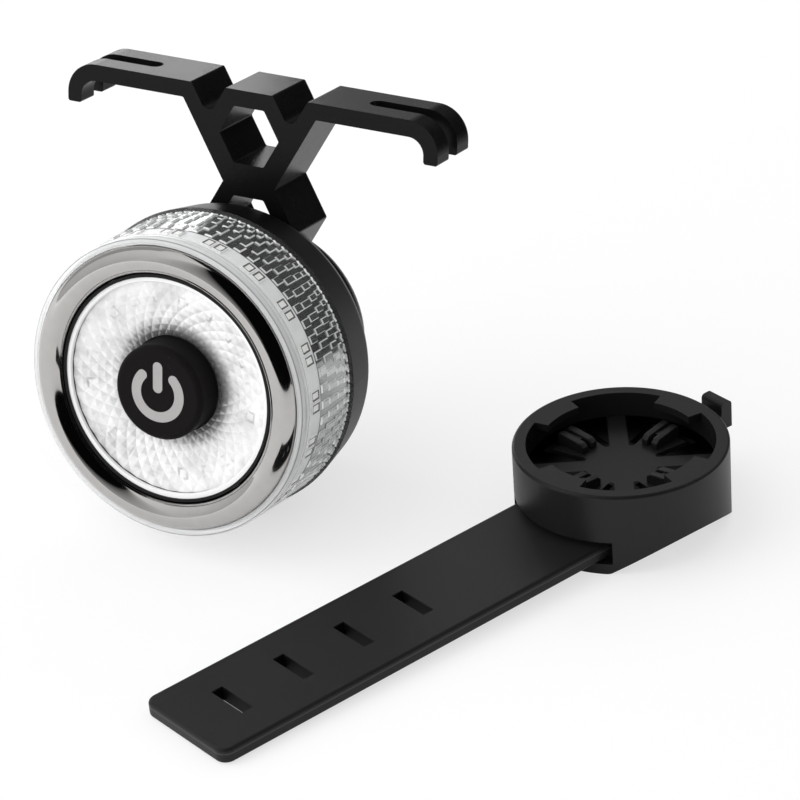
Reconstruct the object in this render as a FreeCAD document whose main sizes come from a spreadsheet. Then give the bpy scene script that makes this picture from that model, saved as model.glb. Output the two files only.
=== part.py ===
import FreeCAD, Part
import math
import os
import re
import Sketcher

# Bicycle tail light with its saddle-rail bracket, and the seat-post strap mount that it comes with.
#
# Row frame: +Z up, floor at z = 0, the front of the light looks along -Y and +X is to its right.
# The light leans back until the taper of its rear shell lies along the floor.
#
# The light and its bracket are drawn in a bench frame and then stood on the floor together:
# bench Z runs along the light's axis towards the front, bench Y is up, bench X is to the right,
# and bench height 0 is the front face of the bracket, where the light's foot plugs in.
# The strap mount is drawn in its own frame: X along the strap, Z up, origin on the floor
# below the middle of its socket.

SIZES = [
    # where the pieces stand
    ("lean_back", 9.8, "degrees that the light leans back"),
    ("light_x", -18.98, "light axis at the bracket face, across"),
    ("light_y", 19.845, "light axis at the bracket face, front to back"),
    ("post_x", 32.47, "middle of the strap mount, across"),
    ("post_y", 25.595, "middle of the strap mount, front to back"),
    ("strap_heading", -112.57, "degrees from +X to the way the strap points"),
    ("seat_gap", 0.05, "clearance between pieces that are fixed together"),
    ("slip_gap", 0.15, "clearance round a piece that moves"),
    # clear side cover
    ("cover_radius", 20.2, "outer radius of the clear cover at its front"),
    ("cover_back_radius", 20.5, "outer radius of the clear cover at its back edge"),
    ("cover_wall", 1.1, "wall of the clear cover"),
    ("cover_back", 8.3, "back edge of the clear cover"),
    ("cover_front", 21.0, "front lip of the clear cover"),
    ("cover_lip", 1.6, "height of the front lip"),
    ("cover_round", 0.7, "rounding of the front lip"),
    # bright bezel and its gasket
    ("bezel_margin", 1.3, "clear rim left round the bezel"),
    ("bezel_wide", 3.5, "width of the bezel"),
    ("bezel_foot", 18.8, "back face of the bezel"),
    ("bezel_crown", 22.4, "front of the half-round bezel"),
    ("gasket_wall", 0.4, "wall of the black gasket"),
    ("gasket_rise", 2.4, "height of the gasket over the lens"),
    # front lens
    ("lens_face", 18.7, "front of the lens disc"),
    ("lens_thick", 1.4, "thickness of the lens disc"),
    ("lens_wall", 0.6, "wall of the rim that stands on the lens"),
    ("lens_rise", 2.2, "height of the rim that stands on the lens"),
    # push button
    ("button_radius", 6.4, "radius of the button"),
    ("button_front", 23.0, "front of the button"),
    ("button_flange", 7.4, "radius of the flange behind the lens"),
    ("flange_thick", 1.0, "thickness of that flange"),
    ("button_round", 0.8, "rounding of the button's front edge"),
    ("button_travel", 0.4, "how far the button goes in"),
    ("symbol_radius", 3.17, "middle radius of the power ring"),
    ("symbol_line", 1.38, "line width of the power symbol"),
    ("symbol_open", 46.0, "degrees from the top to the end of the ring"),
    ("symbol_low", 0.1, "bottom of the bar"),
    ("symbol_high", 4.3, "top of the bar"),
    ("symbol_deep", 0.2, "depth of the inlay"),
    # light source in front
    ("led_board_front", 14.2, "front face of the front board"),
    ("board_thick", 1.0, "thickness of both boards"),
    ("front_led_inset", 2.2, "edge of the front board to the middle of its chips"),
    ("front_led_count", 20, "number of front chips"),
    ("front_led_long", 2.0, "front chip, round the ring"),
    ("front_led_wide", 1.25, "front chip, across the ring"),
    ("front_led_tall", 0.7, "front chip, height"),
    ("reflector_rim", 1.45, "width of the reflector's rim at the lens"),
    ("reflector_flare", 1.35, "how much wider the reflector is at the lens than at the board"),
    ("reflector_ledge", 1.25, "width of the ledge that carries the front board"),
    ("switch_side", 4.5, "side of the push switch"),
    ("switch_tall", 1.5, "height of the push switch"),
    ("plunger_radius", 1.2, "radius of the switch plunger"),
    ("plunger_sunk", 0.7, "how deep the plunger sits in the switch"),
    # light source round the side
    ("core_gap", 0.85, "room between the front of the core and the cover"),
    ("core_wall", 1.15, "wall of the core"),
    ("core_back", 8.6, "back edge of the core"),
    ("bulkhead_front", 12.4, "front face of the core's bulkhead"),
    ("bulkhead_thick", 0.8, "thickness of the bulkhead"),
    ("strip_back", 14.7, "back edge of the side strip"),
    ("strip_front", 18.7, "front edge of the side strip"),
    ("strip_thick", 0.15, "thickness of the side strip"),
    ("side_led_pairs", 20, "pairs of side chips"),
    ("side_led_split", 5.5, "degrees between the two chips of a pair"),
    ("side_led_wide", 1.1, "side chip, round the strip"),
    ("side_led_long", 1.8, "side chip, along the axis"),
    ("side_led_tall", 0.35, "side chip, height"),
    # rear shell
    ("shell_back", 0.9, "back face of the rear shell"),
    ("shell_floor", 2.4, "inside of the back wall"),
    ("core_ledge", 0.15, "width of the ledge that carries the core"),
    ("shell_round", 2.2, "rounding of the back edge"),
    ("spigot_wall", 0.95, "wall of the spigot inside the cover"),
    ("spigot_rise", 1.6, "height of the spigot"),
    ("seal_section", 0.56, "section of the sealing ring"),
    ("screw_inset", 3.2, "edge of the main board to the middle of a screw"),
    ("screw_spread", 30.0, "degrees from straight up to a post"),
    ("screw_post", 1.6, "radius of a screw post"),
    ("screw_radius", 0.65, "radius of a screw's shank"),
    ("screw_head", 1.35, "radius of a screw's head"),
    ("screw_head_tall", 0.8, "height of a screw's head"),
    ("screw_long", 4.0, "length of a screw below its head"),
    # main board, cell and charging port
    ("main_board_front", 8.5, "front face of the main board"),
    ("board_gap", 0.3, "clearance round the main board"),
    ("chip_grid", 1.0, "grid on which the chips of the main board sit"),
    ("chip_tall", 0.9, "height of the chips"),
    ("link_long", 7.6, "board-to-board link, long side"),
    ("link_wide", 2.5, "board-to-board link, short side"),
    ("link_drop", 10.0, "link below the light's axis"),
    ("cell_long", 22.0, "cell, across"),
    ("cell_wide", 18.0, "cell, up and down"),
    ("cell_tall", 3.9, "cell, thickness"),
    ("cell_shift", 1.5, "cell's middle to the right of the axis"),
    ("cell_round", 0.8, "rounding of the cell's long edges"),
    ("pad_thick", 0.8, "foam pad behind the cell"),
    ("pad_inset", 1.0, "how far the pad stays inside the cell's outline"),
    ("lead_radius", 0.4, "radius of a cell lead"),
    ("lead_bend", 1.0, "bend radius of a cell lead"),
    ("lead_half_gap", 1.5, "half the distance between the leads"),
    ("usb_deep", 7.2, "charging socket, depth"),
    ("usb_wide", 8.9, "charging socket, width"),
    ("usb_tall", 3.2, "charging socket, height"),
    ("usb_wall", 0.3, "charging socket, sheet thickness"),
    ("usb_tongue", 0.7, "charging socket, thickness of the tongue"),
    ("usb_mouth", 1.0, "charging socket, mouth to the tongue"),
    ("port_sunk", 1.9, "depth of the flap's recess below the shell's widest part"),
    ("flap_long", 12.4, "port flap, length"),
    ("flap_wide", 3.6, "port flap, width"),
    # quarter-turn joint, the same on the bracket and on the strap mount
    ("socket_bore", 12.3, "radius of the socket under its lips"),
    ("socket_deep", 3.5, "depth of the socket"),
    ("socket_wall", 1.77, "wall of the socket"),
    ("lip_inner", 10.35, "radius inside the lips"),
    ("lip_span", 33.0, "degrees that a lip covers"),
    ("lip_turn", 6.0, "degrees from the X axis to the first lip"),
    ("lip_thick", 1.0, "thickness of a lip"),
    ("lug_span", 28.0, "degrees that a lug covers"),
    ("foot_gap", 0.25, "clearance round the light's foot"),
    ("detent_rise", 1.2, "height of a detent ridge over the socket floor"),
    ("detent_wide", 2.6, "width of a detent ridge"),
    ("detent_inner", 7.0, "inner end of a detent ridge"),
    ("detent_outer", 9.9, "outer end of a detent ridge"),
    ("hub_radius", 4.8, "plain middle of the socket floor"),
    ("finger_end", 10.4, "free end of a spring finger"),
    ("finger_root", 1.9, "half the width of a finger at its root"),
    ("finger_flare", 12.0, "degrees that each side of a finger opens outwards"),
    ("finger_slot", 0.9, "width of the slot that frees a finger"),
    ("slot_base", 1.0, "how far the mount's slots stop over the floor"),
    # saddle-rail bracket
    ("bracket_deep", 8.57, "depth of the bracket"),
    ("upper_hex", 28.07, "middle of the upper hexagon over the axis"),
    ("hex_hole", 3.85, "half the width across the flats of a hexagon hole"),
    ("hex_wall", 2.25, "wall round a hexagon hole"),
    ("vee_mouth", 8.66, "inner end of the wing's top, from the middle"),
    ("strut_wall", 2.2, "thickness of the sloping strut"),
    ("wing_thick", 2.25, "thickness of a wing"),
    ("hook_inner", 25.5, "inside of a rail hook, from the middle"),
    ("hook_thick", 2.06, "thickness of a rail hook"),
    ("hook_drop", 5.55, "height of a rail hook"),
    ("hook_bend", 2.2, "inside radius of a rail hook"),
    ("wing_slot", 2.35, "width of the slot in a wing"),
    ("wing_slot_end", 15.6, "closed end of that slot, from the middle"),
    ("vee_round", 1.1, "rounding at the bottom of the notch"),
    ("small_round", 0.35, "rounding of the bracket's corners"),
    ("ring_floor", 2.0, "thickness of the bracket's socket floor"),
    ("ring_round", 2.6, "rounding of the ring's back edge"),
    # strap mount
    ("base_tall", 11.46, "height of the socket's rim over the floor"),
    ("post_radius", 16.3, "radius of the saddle for the seat post"),
    ("saddle_rise", 4.0, "height of the saddle's crown over the floor"),
    ("rim_round", 0.4, "rounding of the rim"),
    ("foot_round", 0.8, "rounding where the saddle meets the feet"),
    ("barb_reach", 18.3, "far side of the strap hook, from the middle"),
    ("barb_thick", 1.8, "thickness of the hook's bar"),
    ("barb_wide", 3.8, "width of the hook"),
    ("barb_shift", 0.45, "hook's middle beside the strap's line"),
    ("barb_top", 10.5, "top of the hook's bar"),
    ("barb_low", 6.6, "underside of the hook"),
    ("barb_stalk", 1.9, "thickness of the hook's stalk"),
    # strap
    ("strap_root", 9.4, "inner end of the strap, from the middle"),
    ("strap_reach", 71.9, "free end of the strap, from the middle"),
    ("strap_wide", 16.0, "width of the strap"),
    ("strap_thick", 2.1, "thickness of the strap"),
    ("strap_slope", 1.5, "degrees that the strap slopes down to the floor"),
    ("strap_corner", 1.6, "corner radius of the free end"),
    ("strap_round", 0.45, "rounding of the strap's long edges"),
    ("root_room", 1.45, "room beside the strap where it enters the mount"),
    ("root_headroom", 0.95, "room over the strap where it enters the mount"),
    ("strap_slots", 4, "number of slots"),
    ("slot_first", 35.59, "first slot, from the middle"),
    ("slot_pitch", 9.57, "distance from slot to slot"),
    ("slot_long", 6.2, "slot, across the strap"),
    ("slot_wide", 1.7, "slot, along the strap"),
]

doc = FreeCAD.newDocument("tail_light")
sheet = doc.addObject("Spreadsheet::Sheet", "sizes")
for row, (alias, number, note) in enumerate(SIZES, start=1):
    sheet.set("A%d" % row, alias)
    sheet.set("B%d" % row, str(number))
    sheet.set("C%d" % row, note)
    sheet.setAlias("B%d" % row, alias)
doc.recompute()

NAMES = {alias for alias, number, note in SIZES}
CIRCLE = 360.0
SUBPARTS = {}

# Radii that follow from the clear cover, each from the pieces that it fits: the front ones from the
# cover's front and the rear ones from its back edge.
RADII = {
    "bezel_outer": "cover_radius - bezel_margin",
    "bezel_inner": "bezel_outer - bezel_wide",
    "core_radius": "cover_radius - cover_wall - core_gap",
    "core_bore": "core_radius - core_wall",
    "lens_radius": "core_bore - 2 * seat_gap",
    "reflector_radius": "core_bore - seat_gap",
    "reflector_mouth": "reflector_radius - reflector_rim",
    "reflector_foot": "reflector_mouth - reflector_flare",
    "led_board_radius": "reflector_foot - seat_gap",
    "front_led_ring": "led_board_radius - front_led_inset",
    "cover_bore": "cover_back_radius - cover_wall",
    "cover_narrowing": "(cover_back_radius - cover_radius) * spigot_rise / (cover_front - cover_lip - cover_back)",
    "spigot_radius": "cover_bore - max(0; cover_narrowing) - 2 * seat_gap",
    "core_foot": "spigot_radius - spigot_wall - seat_gap",
    "shell_bore": "core_foot - core_ledge",
    "main_board_radius": "shell_bore - board_gap",
    "screw_ring": "main_board_radius - screw_inset",
    "port_floor": "cover_back_radius - port_sunk",
}


def spelt_out(text):
    """An expression with every radius written as the sizes that it follows from."""
    def radius(word):
        return "(%s)" % spelt_out(RADII[word[0]]) if word[0] in RADII else word[0]
    return re.sub(r"[a-z_]+", radius, str(text))


def value(text):
    """What an expression on the sheet's sizes comes to, as a number."""
    result = sheet.evalExpression(spelt_out(text))
    return float(getattr(result, "Value", result))


def bound(text):
    """The same expression as another object of the document writes it."""
    return re.sub(r"[a-z_]+", lambda word: "sizes." + word[0] if word[0] in NAMES else word[0], spelt_out(text))


def bind(item, **expressions):
    """Tie properties of an object to expressions on the sheet."""
    for name, text in expressions.items():
        item.setExpression(name.replace("__", "."), bound(text))


def keep(item, name, stand):
    """Name a finished sub-part and stand it where it belongs."""
    item.Label = name
    stand(item)
    SUBPARTS[name] = item
    return item


AXIS_HEIGHT = "cover_back_radius * cos(lean_back) - cover_back * sin(lean_back)"
STRAP_LIFT = "strap_reach * sin(strap_slope)"


def on_light(item):
    """From the bench frame to the leaning light on the floor."""
    item.Placement = FreeCAD.Placement(
        FreeCAD.Vector(value("light_x"), value("light_y"), value(AXIS_HEIGHT)),
        FreeCAD.Rotation(FreeCAD.Vector(1, 0, 0), value("90 - lean_back")))
    bind(item, Placement__Base__x="light_x", Placement__Base__y="light_y", Placement__Base__z=AXIS_HEIGHT)
    bind(item, Placement__Rotation__Angle="90 - lean_back")


def on_mount(item):
    """From the strap mount's own frame to its place on the floor."""
    item.Placement = FreeCAD.Placement(
        FreeCAD.Vector(value("post_x"), value("post_y"), 0),
        FreeCAD.Rotation(FreeCAD.Vector(0, 0, -1), value("-strap_heading")))
    bind(item, Placement__Base__x="post_x", Placement__Base__y="post_y")
    bind(item, Placement__Rotation__Angle="-strap_heading")


def on_slope(item):
    """From the strap's frame, X along its underside, to where it slopes down to the floor."""
    item.Placement = FreeCAD.Placement(
        FreeCAD.Vector(value("post_x"), value("post_y"), value(STRAP_LIFT)),
        FreeCAD.Rotation(value("strap_heading"), value("strap_slope"), 0))
    bind(item, Placement__Base__x="post_x", Placement__Base__y="post_y", Placement__Base__z=STRAP_LIFT)


def new_body(name):
    return doc.addObject("PartDesign::Body", name)


def new_sketch(body, name, plane="XY_Plane", level="0"):
    """A sketch on one of the body's own planes, raised along the plane's normal."""
    sketch = body.newObject("Sketcher::SketchObject", name)
    origin_plane = next(item for item in body.Origin.OriginFeatures if item.Role == plane)
    sketch.AttachmentSupport = (origin_plane, [""])
    sketch.MapMode = "FlatFace"
    if level != "0":
        bind(sketch, AttachmentOffset__Base__z=level)
    return sketch


def outline(sketch, corners):
    """A closed outline of straight lines through corners given as pairs of expressions."""
    spots = [FreeCAD.Vector(value(across), value(up), 0) for across, up in corners]
    first = sketch.GeometryCount
    count = len(corners)
    for index in range(count):
        sketch.addGeometry(Part.LineSegment(spots[index], spots[(index + 1) % count]))
    for index, (across, up) in enumerate(corners):
        before = first + (index - 1) % count
        sketch.addConstraint(Sketcher.Constraint("Coincident", before, 2, first + index, 1))
        for kind, text in (("DistanceX", across), ("DistanceY", up)):
            rule = Sketcher.Constraint(kind, -1, 1, first + index, 1, value(text))
            number = sketch.addConstraint(rule)
            sketch.setExpression("Constraints[%d]" % number, bound(text))


def circle(sketch, radius, across="0", up="0"):
    """A circle whose radius and middle are expressions."""
    spot = FreeCAD.Vector(value(across), value(up), 0)
    index = sketch.addGeometry(Part.Circle(spot, FreeCAD.Vector(0, 0, 1), value(radius)))
    number = sketch.addConstraint(Sketcher.Constraint("Radius", index, value(radius)))
    sketch.setExpression("Constraints[%d]" % number, bound(radius))
    for kind, text in (("DistanceX", across), ("DistanceY", up)):
        number = sketch.addConstraint(Sketcher.Constraint(kind, -1, 1, index, 3, value(text)))
        sketch.setExpression("Constraints[%d]" % number, bound(text))


def box_corners(left, right, low, high):
    return [(left, low), (right, low), (right, high), (left, high)]


def volume_of(body):
    doc.recompute()
    return body.Shape.Volume


def pad(body, sketch, length, backward=False):
    """Add material along the sketch's normal, or against it."""
    feature = body.newObject("PartDesign::Pad", sketch.Name + "_pad")
    feature.Profile = sketch
    feature.Reversed = backward
    bind(feature, Length=length)
    doc.recompute()
    return feature


def pocket(body, sketch, length, forward=False):
    """Take material away against the sketch's normal, or along it, and see that some went."""
    before = volume_of(body)
    feature = body.newObject("PartDesign::Pocket", sketch.Name + "_pocket")
    feature.Profile = sketch
    feature.Reversed = forward
    bind(feature, Length=length)
    if not volume_of(body) < before:
        raise RuntimeError("pocket took nothing away: " + sketch.Name)
    return feature


def turned(body, name, corners):
    """Add the solid of revolution of an outline given as radius and height."""
    sketch = new_sketch(body, name, "XZ_Plane")
    outline(sketch, corners)
    feature = body.newObject("PartDesign::Revolution", name + "_turned")
    feature.Profile = sketch
    feature.ReferenceAxis = (sketch, ["V_Axis"])
    feature.Angle = CIRCLE
    doc.recompute()
    return feature


def slab(name, corners, level, thick):
    """A flat body with an outline of straight lines, not yet placed."""
    body = new_body(name)
    sketch = new_sketch(body, name + "_outline", level=level)
    outline(sketch, corners)
    pad(body, sketch, thick)
    return body


def turned_part(name, corners, stand=on_light):
    """A sub-part that is one solid of revolution."""
    body = new_body(name)
    turned(body, name + "_profile", corners)
    return keep(body, name, stand)


def round_edges(body, feature, radius, wanted):
    """Round the edges of a feature for which wanted(edge) is true."""
    names = ["Edge%d" % number for number, edge in enumerate(feature.Shape.Edges, start=1) if wanted(edge)]
    fillet = body.newObject("PartDesign::Fillet", feature.Name + "_round")
    fillet.Base = (feature, names)
    bind(fillet, Radius=radius)
    doc.recompute()
    return fillet


def ring_pattern(body, features, count):
    """Repeat features evenly round the body's Z axis."""
    pattern = body.newObject("PartDesign::PolarPattern", features[0].Name + "_ring")
    pattern.Originals = features
    pattern.Axis = (next(item for item in body.Origin.OriginFeatures if item.Role == "Z_Axis"), [""])
    pattern.Angle = CIRCLE
    pattern.Occurrences = count
    body.Tip = pattern
    doc.recompute()
    return pattern


def turn_about(across, up, angle):
    """A corner turned about the middle, as expressions."""
    return ("(%s) * cos(%s) - (%s) * sin(%s)" % (across, angle, up, angle),
            "(%s) * sin(%s) + (%s) * cos(%s)" % (across, angle, up, angle))


def solid_box(name, size, corner):
    """A plain box with its size and lowest corner given as expressions."""
    box = doc.addObject("Part::Box", name)
    bind(box, Length=size[0], Width=size[1], Height=size[2])
    bind(box, Placement__Base__x=corner[0], Placement__Base__y=corner[1], Placement__Base__z=corner[2])
    return box


def combine(kind, name, base, tool):
    """A boolean of two objects: Cut, Fuse or Common."""
    result = doc.addObject("Part::" + kind, name)
    if kind == "Cut":
        result.Base = base
        result.Tool = tool
    else:
        result.Shapes = [base, tool]
    return result


def group(name, solids, stand):
    """Identical small pieces as one sub-part of separate solids."""
    item = doc.addObject("Part::Feature", name)
    item.Shape = Part.makeCompound(solids)
    return keep(item, name, stand)


# Quarter-turn joint


LIP_MIDDLE = "lip_turn"
LIP_COUNT = 4
WEDGE_REACH = "(socket_bore + socket_wall / 3) / cos(lip_span / 2)"
SOCKET_OUTER = "socket_bore + socket_wall"


def wedge(inner, outer, span, middle):
    """Corners of a wedge that covers span degrees about the middle angle."""
    return [turn_about(radius, "0", "%s %s (%s) / 2" % (middle, sign, span))
            for radius, sign in ((inner, "-"), (outer, "-"), (outer, "+"), (inner, "+"))]


def add_socket(body, label, top, floor_thick):
    """Hollow out a bayonet socket below a top face, with four lips and four sprung detents."""
    hollow = new_sketch(body, label + "_bore", level=top)
    circle(hollow, "socket_bore")
    pocket(body, hollow, "socket_deep")

    lip = new_sketch(body, label + "_lip", level=top)
    outline(lip, wedge("lip_inner - socket_wall / 2", WEDGE_REACH, "lip_span", LIP_MIDDLE))
    ring_pattern(body, [pad(body, lip, "lip_thick", backward=True)], LIP_COUNT)
    mouth = new_sketch(body, label + "_mouth", level=top)
    circle(mouth, "lip_inner")
    pocket(body, mouth, "socket_deep")

    floor = "%s - socket_deep" % top
    ridge = new_sketch(body, label + "_ridge", level=floor)
    outline(ridge, [turn_about(across, up, LIP_MIDDLE) for across, up in
                    box_corners("detent_inner", "detent_outer", "-detent_wide / 2", "detent_wide / 2")])
    ring_pattern(body, [pad(body, ridge, "detent_rise")], LIP_COUNT)

    slots = new_sketch(body, label + "_slots", level=floor)
    outline(slots, [turn_about(along, across, LIP_MIDDLE) for along, across in finger_slot_corners()])
    ring_pattern(body, [pocket(body, slots, floor_thick)], LIP_COUNT)


def finger_slot_corners():
    """The U-shaped slot round one spring finger, whose free end points outwards."""
    def side(along, slots):
        return "finger_root + (%s - hub_radius) * tan(finger_flare) + %s * finger_slot" % (along, slots)

    end = "(finger_end - finger_slot)"
    half = [("hub_radius", side("hub_radius", 1)), ("hub_radius", side("hub_radius", 0)),
            (end, side(end, 0))]
    outer = ("finger_end", side("finger_end", 1))
    mirrored = [(along, "-(%s)" % across) for along, across in reversed(half)]
    return half + mirrored + [("finger_end", "-(%s)" % outer[1]), outer]


def upright(edge):
    """True for a straight edge along the body's Z axis."""
    if len(edge.Vertexes) != 2:
        return False
    first, last = (vertex.Point for vertex in edge.Vertexes)
    return abs(first.x - last.x) + abs(first.y - last.y) < 1e-6


def upright_at(spots):
    """A test for edges along Z that pass near one of the spots."""
    def wanted(edge):
        point = edge.Vertexes[0].Point
        return upright(edge) and any(math.hypot(point.x - x, point.y - y) < 0.05 for x, y in spots)
    return wanted


# Front of the light


def side_cover():
    """Clear ring round the light, with a front lip round the bezel."""
    body = new_body("side_cover")
    bore = "cover_radius - cover_wall"
    shape = turned(body, "side_cover_profile", [
        ("bezel_outer + seat_gap", "cover_front - cover_lip"),
        (bore, "cover_front - cover_lip - (%s - bezel_outer - seat_gap)" % bore),
        ("cover_back_radius - cover_wall", "cover_back"),
        ("cover_back_radius", "cover_back"),
        ("cover_radius", "cover_front"),
        ("bezel_outer + seat_gap", "cover_front")])
    front = value("cover_front")
    outer = value("cover_radius")
    round_edges(body, shape, "cover_round",
                lambda edge: abs(edge.BoundBox.ZMin - front) < 1e-4 and edge.BoundBox.XMax > outer - 0.01)
    keep(body, "side_cover", on_light)


def chrome_bezel():
    """Bright half-round ring that holds the lens down."""
    body = new_body("chrome_bezel")
    shape = turned(body, "bezel_profile", box_corners("bezel_inner", "bezel_outer", "bezel_foot", "bezel_crown"))
    crown = value("bezel_crown")
    round_edges(body, shape, "(bezel_outer - bezel_inner) * 0.49",
                lambda edge: abs(edge.BoundBox.ZMin - crown) < 1e-4 and len(edge.Vertexes) == 1)
    keep(body, "chrome_bezel", on_light)


def bezel_gasket():
    """Thin black ring between the bezel and the rim of the lens."""
    outer = "bezel_inner - seat_gap"
    turned_part("bezel_gasket", box_corners(outer + " - gasket_wall", outer,
                                            "lens_face + seat_gap", "lens_face + gasket_rise"))


def front_lens():
    """Clear disc with a standing rim and a hole for the button."""
    rim = "bezel_inner - 2 * seat_gap - gasket_wall"
    back = "lens_face - lens_thick"
    hole = "button_radius + slip_gap"
    turned_part("front_lens", [
        (hole, back), ("lens_radius", back), ("lens_radius", "lens_face"), (rim, "lens_face"),
        (rim, "lens_face + lens_rise"), (rim + " - lens_wall", "lens_face + lens_rise"),
        (rim + " - lens_wall", "lens_face"), (hole, "lens_face")])


FLANGE_FRONT = "lens_face - lens_thick - seat_gap"
FLANGE_BACK = FLANGE_FRONT + " - flange_thick"


def power_shape(depth_margin):
    """The open ring and bar of a power symbol, sunk into the button's front."""
    radius = value("symbol_radius")
    line = value("symbol_line")
    open_angle = value("symbol_open")
    deep = value("symbol_deep")
    front = FreeCAD.Vector(0, 0, value("button_front") - deep)
    tall = deep + depth_margin
    up = FreeCAD.Vector(0, 0, 1)
    sweep = CIRCLE - 2 * open_angle
    outer = Part.makeCylinder(radius + line / 2, tall, front, up, sweep)
    inner = Part.makeCylinder(radius - line / 2, tall, front, up, CIRCLE)
    ring = outer.cut(inner)
    ring.rotate(FreeCAD.Vector(), up, 90 + open_angle)
    pieces = []
    for side in (-1, 1):
        angle = math.radians(90 + side * open_angle)
        spot = front + FreeCAD.Vector(radius * math.cos(angle), radius * math.sin(angle), 0)
        pieces.append(Part.makeCylinder(line / 2, tall, spot, up))
    low = value("symbol_low") + line / 2
    high = value("symbol_high") - line / 2
    pieces.append(Part.makeBox(line, high - low, tall, front + FreeCAD.Vector(-line / 2, low, 0)))
    for level in (low, high):
        pieces.append(Part.makeCylinder(line / 2, tall, front + FreeCAD.Vector(0, level, 0), up))
    arc = ring.fuse(pieces[:2]).removeSplitter()
    bar = pieces[2].fuse(pieces[3:]).removeSplitter()
    return arc, bar


def button():
    """Push button with its flange, its inlaid symbol and the plunger that it pushes."""
    body = new_body("button_blank")
    shape = turned(body, "button_profile", [
        ("0", FLANGE_BACK), ("button_flange", FLANGE_BACK), ("button_flange", FLANGE_FRONT),
        ("button_radius", FLANGE_FRONT), ("button_radius", "button_front"), ("0", "button_front")])
    front = value("button_front")
    round_edges(body, shape, "button_round",
                lambda edge: abs(edge.BoundBox.ZMin - front) < 1e-4 and len(edge.Vertexes) == 1)
    cutter = doc.addObject("Part::Feature", "symbol_cutter")
    cutter.Shape = Part.makeCompound(list(power_shape(1.0)))
    keep(combine("Cut", "button_cap", body, cutter), "button_cap", on_light)
    group("power_symbol", power_shape(0.0), on_light)
    foot = "led_board_front + switch_tall - plunger_sunk"
    turned_part("switch_plunger", box_corners("0", "plunger_radius", foot, FLANGE_BACK))


# Light sources


def led_board():
    """Round front board with the push switch in its middle and a ring of chips."""
    back = "led_board_front - board_thick"
    turned_part("led_board", box_corners("0", "led_board_radius", back, "led_board_front"))
    half = "switch_side / 2"
    switch = slab("switch_body", box_corners("-" + half, half, "-" + half, half), "led_board_front", "switch_tall")
    well = new_sketch(switch, "switch_well", level="led_board_front + switch_tall")
    circle(well, "plunger_radius + slip_gap")
    pocket(switch, well, "plunger_sunk + button_travel + slip_gap")
    keep(switch, "switch_body", on_light)
    long, wide, tall = value("front_led_long"), value("front_led_wide"), value("front_led_tall")
    chips = []
    count = int(value("front_led_count"))
    for index in range(count):
        chip = Part.makeBox(wide, long, tall, FreeCAD.Vector(
            value("front_led_ring") - wide / 2, -long / 2, value("led_board_front")))
        chip.rotate(FreeCAD.Vector(), FreeCAD.Vector(0, 0, 1), CIRCLE * (index + 0.5) / count)
        chips.append(chip)
    group("front_leds", chips, on_light)


def reflector():
    """White flared ring that carries the front board and meets the lens."""
    foot = "bulkhead_front + seat_gap"
    ledge = "led_board_front - board_thick"
    hole = "reflector_foot - reflector_ledge"
    turned_part("reflector", [
        (hole, foot), ("reflector_radius", foot), ("reflector_radius", "lens_face - lens_thick"),
        ("reflector_mouth", "lens_face - lens_thick"), ("reflector_foot", "led_board_front"),
        ("reflector_foot", ledge), (hole, ledge)])


def link_corners(margin):
    """Outline of the link between the two boards, wider by a margin all round."""
    across = "(link_long / 2 + %s)" % margin
    up = "(link_wide / 2 + %s)" % margin
    return box_corners("-" + across, across, "-link_drop - " + up, "-link_drop + " + up)


def inner_core():
    """Black tube inside the cover, with a bulkhead between the two boards."""
    body = new_body("inner_core")
    behind = "bulkhead_front - bulkhead_thick"
    spigot_top = "cover_back + spigot_rise"
    foot_bore = "core_foot - core_wall"
    turned(body, "core_profile", [
        ("0", behind), ("min(core_bore; %s)" % foot_bore, behind), (foot_bore, spigot_top),
        (foot_bore, "core_back"), ("core_foot", "core_back"), ("core_foot", spigot_top),
        ("core_radius", "bulkhead_front"), ("core_radius", "bezel_foot - seat_gap"),
        ("core_bore", "bezel_foot - seat_gap"), ("core_bore", "bulkhead_front"), ("0", "bulkhead_front")])
    way = new_sketch(body, "core_link_way", level="bulkhead_front")
    outline(way, link_corners("slip_gap"))
    pocket(body, way, "bulkhead_thick")
    keep(body, "inner_core", on_light)


def side_lights():
    """White strip round the core and its pairs of chips."""
    inner = "core_radius + seat_gap"
    turned_part("side_strip", box_corners(inner, inner + " + strip_thick", "strip_back", "strip_front"))
    seat = value("core_radius + seat_gap + strip_thick")
    wide, long, tall = value("side_led_wide"), value("side_led_long"), value("side_led_tall")
    middle = value("(strip_back + strip_front) / 2")
    chips = []
    pairs = int(value("side_led_pairs"))
    sunk = seat - math.sqrt(seat ** 2 - (wide / 2) ** 2)
    for index in range(pairs):
        for side in (-1, 1):
            chip = Part.makeBox(tall, wide, long, FreeCAD.Vector(seat, -wide / 2, middle - long / 2))
            angle = CIRCLE * index / pairs + side * value("side_led_split") / 2
            chip.rotate(FreeCAD.Vector(), FreeCAD.Vector(0, 0, 1), angle)
            chips.append(chip)
    print("side chips stand %.3f mm off the round strip at their edges" % sunk)
    group("side_leds", chips, on_light)


# Electronics


BOARD_BACK = "main_board_front - board_thick"
PORT_LEVEL = BOARD_BACK + " - seat_gap - usb_tall / 2"
PAD_FRONT = "shell_floor + seat_gap + pad_thick"
SCREW_ANGLES = ["90 - screw_spread", "90 + screw_spread", "270 - screw_spread", "270 + screw_spread"]


def screw_spot(angle):
    return ("screw_ring * cos(%s)" % angle, "screw_ring * sin(%s)" % angle)


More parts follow.
